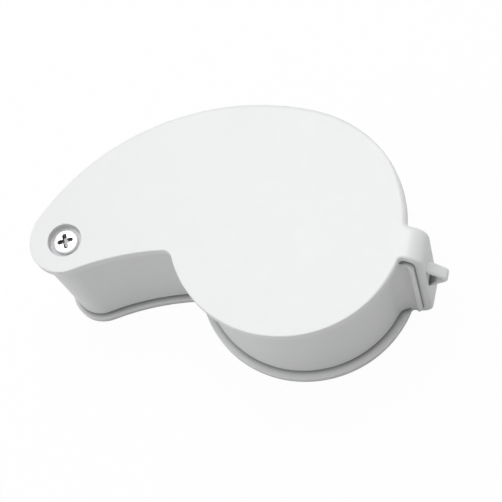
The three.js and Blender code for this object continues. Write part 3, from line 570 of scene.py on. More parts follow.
def softened(piece, width, rounding=None, segments=3, clamp=True):
    """Shades the piece smooth and bevels its sharp edges.

    rounding gives a width up to the piece's own from the middle of an edge and
    the direction between the two faces that meet there. Without clamp, one
    narrow face doesn't make every bevel of the piece narrower.
    """
    bm = mesh_of(piece.data)
    weights = bm.edges.layers.float.new("bevel_weight_edge")
    for face in bm.faces:
        face.smooth = True
    for edge in bm.edges:
        if len(edge.link_faces) == 2 and edge.calc_face_angle() > SHARP:
            middle = (edge.verts[0].co + edge.verts[1].co) / 2
            outward = (edge.link_faces[0].normal + edge.link_faces[1].normal).normalized()
            edge[weights] = rounding(middle, outward) / width if rounding else 1
    bm.to_mesh(piece.data)
    bm.free()
    piece.data.set_sharp_from_angle(angle=SHARP)
    bevel = piece.modifiers.new("soft edges", "BEVEL")
    bevel.limit_method = "WEIGHT"
    bevel.width = width
    bevel.segments = segments
    bevel.harden_normals = True
    bevel.use_clamp_overlap = clamp
    bevel.loop_slide = False


def marked(piece, name, chosen):
    """Marks faces with an attribute that the finish reads; chosen gives a face's share."""
    bm = bmesh.new()
    bm.from_mesh(piece.data)
    mark = bm.faces.layers.float.new(name)
    for face in bm.faces:
        face[mark] = chosen(face.calc_center_median(), face.normal)
    bm.to_mesh(piece.data)
    bm.free()


def finished(piece, node):
    """Gives a piece the finish of a node's slot."""
    piece.data.materials.clear()
    piece.data.materials.append(bpy.data.materials[SLOT_OF[node] + FINISH])


def placed(piece, node):
    """Puts a piece in the place of a node, on its body and in its slot."""
    finished(piece, node)
    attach(piece, BODY_OF[node])
    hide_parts(node)


def middle_of(node):
    """The upright axis of a round node, and its radius, lowest and highest point."""
    low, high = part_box(node)
    centre = Vector(((low.x + high.x) / 2, (low.y + high.y) / 2, 0))
    return centre, (high.x - low.x) / 2, low.z, high.z


def refined(name, node, width, segments=2):
    """A merged copy of a node with its facets smoothed and its edges softened."""
    bm = mesh_of(frame["nodes"][node].data)
    bmesh.ops.dissolve_limit(
        bm, angle_limit=FLAT, use_dissolve_boundaries=False, verts=bm.verts, edges=bm.edges
    )
    piece = solid(name, bm)
    softened(piece, width, segments=segments)
    placed(piece, node)


# Finishes


def feed(tree, node, inputs):
    """Links a node's inputs to sockets, or gives them values."""
    for name, value in inputs.items():
        if isinstance(value, bpy.types.NodeSocket):
            tree.links.new(value, node.inputs[name])
        else:
            node.inputs[name].default_value = value


def node_in(tree, kind, inputs=None, **settings):
    """Adds a node to a tree, sets its properties and feeds its inputs."""
    made = tree.nodes.new(kind)
    for name, value in settings.items():
        setattr(made, name, value)
    feed(tree, made, inputs or {})
    return made


class Finish:
    """A node material that reads Object coordinates."""

    def __init__(self, slot):
        self.material = bpy.data.materials.new(slot + FINISH)
        self.material.use_nodes = True
        self.tree = self.material.node_tree
        self.shader = self.tree.nodes["Principled BSDF"]
        self.coordinates = self.node("ShaderNodeTexCoord").outputs["Object"]

    def node(self, kind, inputs=None, **settings):
        """Adds a node to the material."""
        return node_in(self.tree, kind, inputs, **settings)

    def surface(self, **inputs):
        """Feeds the shader's inputs, named with underscores for spaces."""
        spaced = {name.replace("_", " "): value for name, value in inputs.items()}
        feed(self.tree, self.shader, spaced)

    def so_far(self, name):
        """What an input of the shader is linked to, if anything."""
        links = self.shader.inputs[name].links
        return links[0].from_socket if links else None

    def mapped(self, **inputs):
        """The coordinates moved or stretched."""
        mapping = self.node("ShaderNodeMapping", {"Vector": self.coordinates, **inputs})
        return mapping.outputs["Vector"]

    def grain(self, scale, detail=4, stretch=None):
        """A noise whose scale is in features per metre."""
        source = self.mapped(Scale=stretch) if stretch else self.coordinates
        inputs = {"Vector": source, "Scale": scale, "Detail": detail}
        return self.node("ShaderNodeTexNoise", inputs).outputs["Fac"]

    def rings(self, scale, centre):
        """Turning marks about an upright through a centre."""
        source = self.mapped(Location=(-centre.x, -centre.y, 0))
        inputs = {"Vector": source, "Scale": scale, "Distortion": 1.5, "Detail Scale": 3}
        wave = self.node("ShaderNodeTexWave", inputs, wave_type="RINGS", rings_direction="Z")
        return wave.outputs["Fac"]

    def marks(self, name):
        """What the mesh's attribute says."""
        return self.node("ShaderNodeAttribute", attribute_name=name).outputs["Fac"]

    def remapped(self, factor, old, new):
        """The factor moved from one range to another."""
        ends = zip(("From Min", "From Max", "To Min", "To Max"), (*old, *new))
        remap = self.node("ShaderNodeMapRange", {"Value": factor, **dict(ends)})
        return remap.outputs["Result"]

    def coloured(self, factor, first, second, low=0.3, high=0.7):
        """A colour that runs from one to the other with the factor."""
        ramp = self.node("ShaderNodeValToRGB", {"Fac": factor})
        for stop, position, tint in zip(ramp.color_ramp.elements, (low, high), (first, second)):
            stop.position = position
            stop.color = (*tint, 1)
        self.surface(Base_Color=ramp.outputs["Color"])

    def shade_painted(self, tint):
        """Paints shade: turns to another colour where the mesh marks the surface as lying in shade."""
        inputs = {"Factor": self.marks("dull"), 6: self.so_far("Base Color"), 7: (*tint, 1)}
        mix = self.node("ShaderNodeMix", inputs, data_type="RGBA")
        self.surface(Base_Color=mix.outputs[2])

    def painted_hollow_shade(self, reach, least, low, high):
        """Paints shade into the base colour in hollows narrower than the reach, less where the mesh marks the
        shade as spared.
        """
        # painted shade: ambient occlusion darkens the base colour
        hollow = self.node("ShaderNodeAmbientOcclusion", {"Distance": reach}, samples=8)
        openness = self.remapped(hollow.outputs["AO"], (low, high), (least, 1))
        inputs = {0: openness, 1: self.marks("clean")}
        either = self.node("ShaderNodeMath", inputs, operation="MAXIMUM")
        inputs = {0: self.so_far("Base Color"), "Scale": either.outputs["Value"]}
        scale = self.node("ShaderNodeVectorMath", inputs, operation="SCALE")
        self.surface(Base_Color=scale.outputs["Vector"])

    def roughened(self, factor, low, high):
        """A roughness that runs from low to high with the factor."""
        self.surface(Roughness=self.remapped(factor, (0.3, 0.7), (low, high)))

    def relief(self, factor, depth, strength):
        """A bump of a given depth, on top of what is there."""
        inputs = {"Height": factor, "Distance": depth, "Strength": strength}
        below = self.so_far("Normal")
        if below:
            inputs["Normal"] = below
        self.surface(Normal=self.node("ShaderNodeBump", inputs).outputs["Normal"])


def darker(tint, factor):
    """A colour at a share of its brightness."""
    return tuple(channel * factor for channel in tint)


def pearl_enamel(slot, tint):
    """Satin white enamel with a faint orange peel over a die casting."""
    finish = Finish(slot)
    finish.surface(Metallic=0.0, Coat_Weight=0.25, Coat_Roughness=0.3)
    finish.coloured(finish.grain(260, 3), darker(tint, 0.985), tint)
    # painted shade in the creases and hollows of the cover
    finish.painted_hollow_shade(reach=1.3 * MM, least=0.45, low=0.5, high=0.85)
    finish.roughened(finish.grain(900), 0.4, 0.5)
    finish.relief(finish.grain(1500, 2), depth=0.006 * MM, strength=0.35)
    finish.relief(finish.grain(9000, 2), depth=0.002 * MM, strength=0.3)


def silver_paint(slot, tint):
    """Satin silver paint with fine flakes."""
    finish = Finish(slot)
    finish.surface(Metallic=0.1, Coat_Weight=0.15, Coat_Roughness=0.3)
    finish.coloured(finish.grain(7000, 2), darker(tint, 0.93), tint)
    # painted shade in the creases and hollows of the case
    finish.painted_hollow_shade(reach=3.5 * MM, least=0.6, low=0.45, high=0.85)
    finish.roughened(finish.grain(1200), 0.42, 0.54)
    finish.relief(finish.grain(1800, 2), depth=0.008 * MM, strength=0.4)
    finish.relief(finish.grain(12000, 2), depth=0.002 * MM, strength=0.4)


def plated(slot, tint):
    """Bright nickel plate with faint handling marks."""
    finish = Finish(slot)
    finish.surface(Metallic=1.0)
    finish.coloured(finish.grain(1500, 5), darker(tint, 0.94), tint)
    # painted shade in the pivot screw's cross recess
    finish.shade_painted(darker(tint, 0.26))
    finish.roughened(finish.grain(2600, 6), 0.2, 0.34)
    finish.relief(finish.grain(5000, 3), depth=0.003 * MM, strength=0.3)


def rolled(slot, tint):
    """Rolled spring steel with its grain along Y."""
    finish = Finish(slot)
    finish.surface(Metallic=1.0)
    finish.coloured(finish.grain(900, 5, (6, 1, 1)), darker(tint, 0.82), tint)
    finish.roughened(finish.grain(1800, 4, (8, 1, 1)), 0.28, 0.45)
    finish.relief(finish.grain(4000, 3, (8, 1, 1)), depth=0.004 * MM, strength=0.4)


def turned_metal(slot, tint, centre, metallic, low, high):
    """Turned metal with tool marks round an axis."""
    finish = Finish(slot)
    finish.surface(Metallic=metallic)
    finish.coloured(finish.grain(1400, 4), darker(tint, 0.85), tint)
    finish.roughened(finish.grain(2500), low, high)
    finish.relief(finish.rings(2600, centre), depth=0.005 * MM, strength=0.35)


def clear_glass(slot, tint, index, roughness, transmission=1.0):
    """Polished glass or cast epoxy with the faintest surface haze."""
    finish = Finish(slot)
    finish.surface(Metallic=0.0, Transmission_Weight=transmission, IOR=index)
    finish.coloured(finish.grain(120, 2), darker(tint, 0.99), tint)
    finish.roughened(finish.grain(600, 3), roughness, roughness + 0.02)


def moulded(slot, tint, low, high):
    """Moulded plastic with a fine spark texture."""
    finish = Finish(slot)
    finish.surface(Metallic=0.0)
    finish.coloured(finish.grain(1100, 4), darker(tint, 0.88), tint)
    finish.roughened(finish.grain(2200), low, high)
    finish.relief(finish.grain(7000, 3), depth=0.006 * MM, strength=0.5)


def woven_laminate(slot, tint):
    """Solder mask over glass cloth, whose weave shows through faintly."""
    finish = Finish(slot)
    finish.surface(Metallic=0.0, Coat_Weight=0.4, Coat_Roughness=0.2)
    weave = finish.grain(3000, 2, (4, 1, 1))
    finish.coloured(weave, darker(tint, 0.7), tint)
    finish.roughened(weave, 0.35, 0.5)
    finish.relief(finish.grain(3000, 2, (1, 4, 1)), depth=0.004 * MM, strength=0.4)


# Operators


class BuildOperator:
    """What the operators share.

    kept lists what only gets soft edges: its name, its node, the rounding in
    millimetres and the rounding's segments.
    """

    bl_options = {"REGISTER", "UNDO"}
    kept = ()

    def execute(self, context):
        self.build(context.scene)
        for name, node, edge, segments in self.kept:
            refined(name, node, edge * MM, segments)
        return {"FINISHED"}

    def build(self, scene):
        """Makes what the scene's settings shape."""


class LOUPE_OT_finishes(BuildOperator, bpy.types.Operator):
    """Make the node material of every slot"""

    bl_idname = "loupe.finishes"
    bl_label = "Finishes"

    def build(self, scene):
        tints = scene.loupe_finishes
        pivot = middle_of("pivot_screw")[0]
        pearl_enamel("cover_enamel", tints.enamel)
        silver_paint("case_paint", tints.casting)
        plated("steel", tints.nickel)
        rolled("spring_steel", tints.spring)
        turned_metal("brass", tints.brass, pivot, 1.0, 0.25, 0.4)
        turned_metal("black_anodised", tints.anodised, LENS_AXIS, 0.4, 0.35, 0.5)
        clear_glass("lens_glass", tints.glass, 1.52, 0.0)
        clear_glass("lamp_epoxy", tints.epoxy, 1.5, 0.05, 0.9)
        moulded("white_plastic", tints.white, 0.4, 0.55)
        moulded("black_plastic", tints.black, 0.45, 0.6)
        woven_laminate("circuit_board", tints.laminate)
        moulded("wire_red", tints.red, 0.35, 0.5)
        moulded("wire_black", tints.jet, 0.35, 0.5)


class LOUPE_OT_cover(BuildOperator, bpy.types.Operator):
    """Build the cast cover: two plates, the end web, the lanyard loop and the recess"""

    bl_idname = "loupe.cover"
    bl_label = "Cover"

    def build(self, scene):
        sizes = scene.loupe_cover
        pivot = middle_of("pivot_screw")[0]
        boss_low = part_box("pivot_post")[1].z + FIT
        top = sizes.height - sizes.plate
        body = solid("cover_casting", self.clip(sizes))
        form = Drop(scene.loupe_drop)

        def tab_end(pen, at):
            pen.line(at(Vector((sizes.tab_reach, -sizes.tab_front, 0))))
            pen.line(at(Vector((sizes.tab_reach, sizes.tab_back, 0))))

        neck = (sizes.tab_front, sizes.tab_back, sizes.tab_fillet, tab_end)
        shaped(body, "INTERSECT", form.prism(-CLEAR, sizes.height + CLEAR, neck=neck))
        boss = drum(pivot, sizes.boss, boss_low, top + sizes.plate / 2)
        shaped(body, "UNION", self.lug(sizes), boss)
        shaped(
            body,
            "DIFFERENCE",
            drum(pivot, sizes.recess, sizes.height - sizes.recess_depth, sizes.height + CLEAR),
            drum(pivot, sizes.shank_hole, boss_low - CLEAR, sizes.height),
            drum(pivot, sizes.flange_hole, -CLEAR, sizes.flange_depth),
            drum(pivot, sizes.post_hole, -CLEAR, sizes.plate + CLEAR),
        )

        def rounding(point, outward):
            if (point.xy - pivot.xy).length < sizes.boss + 2 * NEAR:
                return sizes.recess_round
            off_side = min(abs(point.y + sizes.tab_front), abs(point.y - sizes.tab_back))
            if point.x > sizes.tab_reach - NEAR and off_side >= NEAR:
                return 0
            gap = sizes.height / 2 - sizes.inner_share * sizes.plate
            in_gap = abs(point.z - sizes.height / 2) < gap
            if in_gap and point.x < sizes.tab_reach - sizes.inner_share * sizes.web:
                return sizes.inner_round
            in_front = point.y < 0 and point.x > pivot.x + sizes.front_start
            turned_away = sizes.rim_start + sizes.rim_growth * outward.dot(AWAY)
            away = 0 if in_front else eased(turned_away)
            rim = sizes.near_round + away * (sizes.far_round - sizes.near_round)
            side = sizes.web_round if point.y > 0 else sizes.lug_round
            off_tab = abs(math.atan2(point.y, point.x))
            return rim + eased((sizes.tab_fade_start - off_tab) / sizes.tab_fade) * (side - rim)

        # marks the recess round the screw's head, which is spared some of the painted shade
        def in_recess(middle, normal):
            inside = (middle.xy - pivot.xy).length < sizes.recess + WELD and middle.z > top
            return sizes.shade_spared_share if inside else 0

        marked(body, "clean", in_recess)
        softened(body, sizes.web_round, rounding, segments=4, clamp=False)
        placed(body, "cover")

    def clip(self, sizes):
        """The cover's long section, from the top plate round the web to the bottom plate."""
        inner = sizes.bend - sizes.web
        web_inner = sizes.tab_reach - sizes.web
        bend = sizes.tab_reach - sizes.bend
        ceiling = sizes.height - sizes.plate
        pen = Pen(Vector((-FAR, FAR, 0)), TO_FRONT)
        pen.side_line(bend, 0)
        pen.side_arc(bend, sizes.bend, QUARTER_TURN)
        pen.side_line(sizes.tab_reach, sizes.height - sizes.bend)
        pen.side_arc(bend, sizes.height - sizes.bend, QUARTER_TURN)
        pen.side_line(-FAR, sizes.height)
        pen.side_line(-FAR, ceiling)
        pen.side_line(web_inner - inner, ceiling)
        pen.side_arc(web_inner - inner, ceiling - inner, -QUARTER_TURN)
        pen.side_line(web_inner, sizes.plate + inner)
        pen.side_arc(web_inner - inner, sizes.plate + inner, -QUARTER_TURN)
        pen.side_line(-FAR, sizes.plate)
        return pen.drawn_out(2 * FAR * TO_FRONT)

    def lug(self, sizes):
        """The lanyard loop: a three-cornered bow whose two ends go into the web."""
        nose = Vector((
            sizes.tab_reach + sizes.loop_reach - sizes.loop_nose,
            -sizes.loop_middle - sizes.loop_width / 2,
            sizes.nose_rise,
        ))
        root = sizes.tab_reach - sizes.web / 2
        outer = self.horn(nose, root, sizes.loop_foot, sizes.loop_top, sizes.loop_nose)
        eye_nose = sizes.loop_nose - sizes.loop_bar
        inner = self.horn(nose, sizes.tab_reach, sizes.eye_foot, sizes.eye_top, eye_nose)
        for end, beside in ((0, 1), (-1, -2)):
            way = inner[end] - inner[beside]
            inner[end] = inner[beside] + way * (root - inner[beside].x) / way.x
        bm = bmesh.new()
        pairs = [(bm.verts.new(out), bm.verts.new(eye)) for out, eye in zip(outer, inner)]
        for (out, eye), (next_out, next_eye) in zip(pairs, pairs[1:]):
            bm.faces.new((out, next_out, next_eye, eye))
        made = bmesh.ops.extrude_face_region(bm, geom=bm.faces[:])["geom"]
        bmesh.ops.translate(bm, verts=only(made, bmesh.types.BMVert), vec=(0, sizes.loop_width, 0))
        bmesh.ops.recalc_face_normals(bm, faces=bm.faces)
        long_edges = [
            edge for edge in bm.edges
            if edge.calc_face_angle(0) > SHARP
            and max(vert.co.x for vert in edge.verts) > root + WELD
        ]
        bmesh.ops.bevel(
            bm, geom=long_edges, offset=sizes.loop_round, offset_type="OFFSET", segments=4,
            profile=0.5, affect="EDGES",
        )
        return bm

    def horn(self, nose, root, foot, top, radius, steps=32):
        """Two corners on an upright and a round nose tangent to the lines from them."""
        corners = [Vector((root, nose.y, foot)), Vector((root, nose.y, top))]
        ways = []
        for corner, side in zip(corners, (1, -1)):
            gap = corner - nose
            ways.append(math.atan2(gap.z, gap.x) + side * math.acos(radius / gap.length))
        start, span = ways[0], (ways[1] - ways[0]) % FULL_TURN
        angles = [start + span * step / steps for step in range(steps + 1)]
        arc = [nose + radius * Vector((math.cos(angle), 0, math.sin(angle))) for angle in angles]
        return [corners[0], *arc, corners[1]]


class LOUPE_OT_case(BuildOperator, bpy.types.Operator):
    """Build the lens case and finish its base plate and the battery cover"""

    bl_idname = "loupe.case"
    bl_label = "Lens case"
    kept = (
        ("base_plate", "housing_base", 0.12, 2),
        ("battery_door", "battery_cover", 0.08, 2),
    )

    def build(self, scene):
        drop, cover, sizes = scene.loupe_drop, scene.loupe_cover, scene.loupe_case
        pivot = middle_of("pivot_screw")[0]
        low, high = (end.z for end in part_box("lens_housing"))
        form = Drop(drop, drop.case_inset, drop.eye_inset)
        web_inner = cover.tab_reach - cover.web
        corner = Vector((web_inner, -cover.tab_front, 0))
        swing = (corner - pivot).length - sizes.grip_gap
        cheek = cover.tab_front + sizes.grip_out

        def on_swing(y, inside=0):
            """The point at a given y on the swing, or that far inside it."""
            return Vector((pivot.x + math.sqrt((swing - inside) ** 2 - (y - pivot.y) ** 2), y, 0))

        def grip_end(pen, at):
            radius, fillet, flare = sizes.cheek_round, sizes.grip_fillet, sizes.grip_flare
            pen.arc(at(form.beside_disc(-cheek - fillet, fillet)), -flare)
            centre = on_swing(radius - cheek - sizes.grip_lip, radius)
            way = angle_of(pivot, centre)
            pen.line(at(toward(centre, -QUARTER_TURN - flare, radius)))
            pen.arc(at(centre), QUARTER_TURN + flare + way)
            pen.arc(at(pivot), angle_of(pivot, on_swing(cover.tab_back)) - way)

        neck = (cheek, cover.tab_back, sizes.grip_fillet, grip_end)
        foot = low + sizes.foot_gap
        end = on_swing(-cover.tab_front).x
        shell = solid("case_shell", form.prism(foot, high, neck=neck))
        shaped(shell, "INTERSECT", self.long_block(end, foot, high, sizes.grip_round))
        shaped(shell, "DIFFERENCE", *self.hollows(form, pivot, sizes, low, high))

        def rounding(point, outward):
            bore = point.xy.length < sizes.lamp_well + CLEAR
            hole = (point.xy - pivot.xy).length < sizes.boss_bore + NEAR
            if point.x > form.disc:
                return sizes.grip_rim
            on_rim = abs(point.z - high) < WELD and not bore and not hole
            return sizes.rim_round if on_rim else sizes.bore_round

        softened(shell, sizes.grip_rim, rounding)
        placed(shell, "lens_housing")

    def long_block(self, reach, low, high, radius):
        """A long block whose far end is rounded at the top and the bottom."""
        pen = Pen(Vector((-FAR, FAR, low - CLEAR)), TO_FRONT)
        pen.side_line(reach - radius - CLEAR, low - CLEAR)
        pen.side_line(reach - radius - CLEAR, low)
        pen.side_line(reach - radius, low)
        pen.side_arc(reach - radius, low + radius, QUARTER_TURN)
        pen.side_line(reach, high - radius)
        pen.side_arc(reach - radius, high - radius, QUARTER_TURN)
        pen.side_line(reach - radius - CLEAR, high)
        pen.side_line(reach - radius - CLEAR, high + CLEAR)
        pen.side_line(-FAR, high + CLEAR)
        return pen.drawn_out(2 * FAR * TO_FRONT)

    def hollows(self, form, pivot, sizes, low, high):
        """What is cut out of the case: the arm's hollow, the bores and the door's track."""
        base_top = low + sizes.base + FIT
        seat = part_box("lower_lens")[0].z - FIT
        seat_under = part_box("lamp_board")[1].z + sizes.board_gap
        boss_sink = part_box("upper_washer")[0].z - sizes.washer_gap
        arm = solid("arm", form.prism(low - CLEAR, high - sizes.deck, inward=sizes.wall))
        rabbet = solid("rabbet", form.prism(low - 2 * CLEAR, base_top, inward=sizes.base_rim))
        bottom = low - 3 * CLEAR
        shaped(arm, "DIFFERENCE", drum(LENS_AXIS, form.disc, bottom, high))
        for piece in (arm, rabbet):
            shaped(piece, "DIFFERENCE", drum(pivot, form.eye, bottom, high))
        cells = middle_of("cell_1")[0]
        door = (2 * sizes.door_half, 2 * form.disc, 2 * sizes.base)
        return [
            freed(arm),
            freed(rabbet),
            block(Vector((cells.x, cells.y + form.disc, low)), door),
            drum(LENS_AXIS, sizes.lens_bore, seat, high + CLEAR, 120),
            drum(LENS_AXIS, sizes.lens_bore - sizes.lens_lip, low - CLEAR, high + CLEAR, 120),
            drum(LENS_AXIS, sizes.lamp_well, low - CLEAR, seat_under, 120),
            drum(pivot, sizes.pivot_bore, low - CLEAR, high + CLEAR),
            drum(pivot, sizes.boss_bore, boss_sink, high + CLEAR),
            self.switch_slot(sizes),
        ]

    def switch_slot(self, sizes):
        """The slot in the back wall that the switch's stem slides in."""
        low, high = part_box("switch_slider")
        spot = sum(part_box("switch_case"), Vector()) / 2
        joint = next(joint for joint in frame["joints"] if joint["child"] == "switch_slider")
        angle = math.atan2(joint["axis"][1], joint["axis"][0])
        centre = Vector((spot.x, spot.y, (low.z + high.z) / 2))
        return block(centre, (sizes.slot_length, sizes.slot_depth, sizes.slot_height), angle)


class LOUPE_OT_base_screws(BuildOperator, bpy.types.Operator):
    """Build the three screws that hold the base plate"""

    bl_idname = "loupe.base_screws"
    bl_label = "Base screws"

    def build(self, scene):
        for node in ("base_screw_1", "base_screw_2", "base_screw_3"):
            self.screw(node, scene.loupe_screws)

    def screw(self, node, sizes):
        """A pan-head screw that points up, with a slot."""
        centre, radius, low, high = middle_of(node)
        under = low + sizes.pan
        shank = sizes.shank_share * radius
        profile = [
            *((part * radius, low + drop * MM) for part, drop in PAN_DOME),
            (radius, under),
            (shank, under),
            (shank, high - shank / 2),
            (shank / 2, high),
            (0, high),
        ]
        piece = solid(node.replace("base", "case"), turned(centre, profile, 48))
        slot = (3 * radius, sizes.slot, 2 * sizes.slot_depth)
        foot = Vector((centre.x, centre.y, low))
        shaped(piece, "DIFFERENCE", block(foot, slot, sizes.slot_way))
        softened(piece, sizes.edge)
        placed(piece, node)


class LOUPE_OT_pivot(BuildOperator, bpy.types.Operator):
    """Build the pivot screw and finish the post, the washers and the bush"""

    bl_idname = "loupe.pivot"
    bl_label = "Pivot"
    kept = (
        ("turned_post", "pivot_post", 0.08, 2),
        ("spring_washer_upper", "upper_washer", 0.05, 2),
        ("spring_washer_lower", "lower_washer", 0.05, 2),
        ("brass_bush", "pivot_bush", 0.08, 2),
    )

    def build(self, scene):
        sizes = scene.loupe_screws
        centre, radius, low, high = middle_of("pivot_screw")
        shank, under = sizes.shank, high - sizes.head
        profile = [
            (0, low),
            (shank - sizes.tip, low),
            (shank, low + sizes.tip),
            (shank, under),
            (radius, under),
            *((part * radius, high - drop * MM) for part, drop in HEAD_DOME),
        ]
        piece = solid("cross_screw", turned(centre, profile))
        for angle in (sizes.cross_way, sizes.cross_way + QUARTER_TURN):
            shaped(piece, "DIFFERENCE", self.arm(centre, high, angle, sizes))

        # marks the faces of the cross recess, where shade is painted
        def in_cross(middle, normal):
            deep = high - middle.z
            if (middle.xy - centre.xy).length > sizes.cross_reach + FIT:
                return 0
            on_top = normal.z > LEVEL and deep < 3 * NEAR
            return 1 if deep < sizes.cross_depth + NEAR and not on_top else 0

        marked(piece, "dull", in_cross)
        softened(piece, sizes.edge)
        placed(piece, "pivot_screw")

    def arm(self, centre, top, angle, sizes):
        """One arm of the cross recess: a round-ended slot that narrows with depth."""
        half, depth = sizes.cross_half, sizes.cross_depth
        inner = sizes.cross_reach - half
        pen = Pen(Vector((-inner, -half, 0)), UP)
        pen.line(Vector((inner, -half, 0)))
        pen.arc(Vector((inner, 0, 0)), HALF_TURN)
        pen.line(Vector((-inner, half, 0)))
        pen.arc(Vector((-inner, 0, 0)), HALF_TURN)
        bm = pen.drawn_out(Vector((0, 0, depth + sizes.cross_above)))
        low = [vert for vert in bm.verts if vert.co.z < WELD]
        bmesh.ops.scale(bm, verts=low, vec=(sizes.cross_taper, sizes.cross_narrowing, 1))
        return put(bm, (centre.x, centre.y, top - depth), angle)


class LOUPE_OT_optics(BuildOperator, bpy.types.Operator):
    """Build the retaining ring and the two lenses, and finish the spacer"""

    bl_idname = "loupe.optics"
    bl_label = "Optics"
    kept = (("blackened_spacer", "lens_spacer", 0.08, 2),)

    def build(self, scene):
        self.ring(scene.loupe_optics)
        self.lens("upper_glass", "upper_lens", -1, scene.loupe_optics)
        self.lens("lower_glass", "lower_lens", 1, scene.loupe_optics)

    def ring(self, sizes):
        """The threaded ring that holds the lenses, with two spanner notches."""
        centre, radius, low, high = middle_of("retaining_ring")
        clear, edge = radius - sizes.ring_width, sizes.ring_edge
        profile = [
            (clear, low),
            (radius, low),
            (radius, high - edge),
            (radius - edge, high),
            (clear + sizes.ring_land, high),
            (clear + sizes.ring_step, high - sizes.ring_step_depth),
            (clear, high - sizes.ring_cone),
        ]
        piece = solid("lens_ring", turned(centre, profile, 144))
        notch = (4 * radius, sizes.notch_width, 2 * sizes.notch_depth)
        top = Vector((centre.x, centre.y, high))
        shaped(piece, "DIFFERENCE", block(top, notch, sizes.notch_way))
        softened(piece, edge / 2)
        placed(piece, "retaining_ring")

    def lens(self, name, node, way, sizes):
        """A lens with one flat face and one domed face, up (1) or down (-1)."""
        _, radius, low, high = middle_of(node)
        flat, tip = (low, high) if way > 0 else (high, low)
        edge = flat + way * sizes.lens_edge
        dome = radius - sizes.lens_rim
        sag = abs(tip - edge)
        ball = (dome**2 + sag**2) / (2 * sag)
        bevel = sizes.lens_bevel
        pen = Pen(Vector((0, 0, flat)), TO_FRONT)
        pen.side_line(radius - bevel, flat)
        pen.side_line(radius, flat + way * bevel)
        pen.side_line(radius, edge)
        pen.side_line(dome, edge)
        pen.side_arc(0, tip - way * ball, way * math.asin(dome / ball))
        piece = solid(name, revolved(pen.bm, LENS_AXIS, 144))
        softened(piece, sizes.edge)
        placed(piece, node)


class LOUPE_OT_lamps(BuildOperator, bpy.types.Operator):
    """Build the two lamps and finish their ring and board"""

    bl_idname = "loupe.lamps"
    bl_label = "Lamps"
    kept = (
        ("lamp_carrier", "lamp_ring", 0.1, 2),
        ("lamp_laminate", "lamp_board", 0.05, 2),
    )

    def build(self, scene):
        for number, node in enumerate(("lamp_1", "lamp_2"), 1):
            self.lamp(f"lamp_dome_{number}", node, scene.loupe_optics)

    def lamp(self, name, node, sizes):
        """A round-nosed lamp with a flange, pointing down."""
        centre, flange, low, high = middle_of(node)
        radius = flange - sizes.lamp_flange
        shoulder = high - sizes.lamp_foot
        pen = Pen(Vector((0, 0, high)), TO_FRONT)
        pen.side_line(flange, high)
        pen.side_line(flange, shoulder)
        pen.side_line(radius, shoulder)
        pen.side_line(radius, low + radius)
        pen.side_arc(0, low + radius, -QUARTER_TURN)
        piece = solid(name, put(revolved(pen.bm, LENS_AXIS, 48), centre))
        softened(piece, sizes.edge)
        placed(piece, node)


class LOUPE_OT_power(BuildOperator, bpy.types.Operator):
    """Finish the cells, their tube, the contact and the spring"""

    bl_idname = "loupe.power"
    bl_label = "Cells"
    kept = (
        ("button_cell_1", "cell_1", 0.08, 2),
        ("button_cell_2", "cell_2", 0.08, 2),
        ("button_cell_3", "cell_3", 0.08, 2),
        ("cell_tube", "battery_tube", 0.1, 2),
        ("contact_disc", "cell_contact", 0.04, 2),
        ("contact_spring", "cell_spring", 0.03, 2),
    )


class LOUPE_OT_switch(BuildOperator, bpy.types.Operator):
    """Finish the slide switch and the wires"""

    bl_idname = "loupe.switch"
    bl_label = "Switch and wires"
    kept = (
        ("switch_body", "switch_case", 0.15, 2),
        ("switch_knob", "switch_slider", 0.12, 3),
    )

    def build(self, scene):
        for node in ("switch_wire", "lamp_wire"):
            finished(frame["nodes"][node], node)


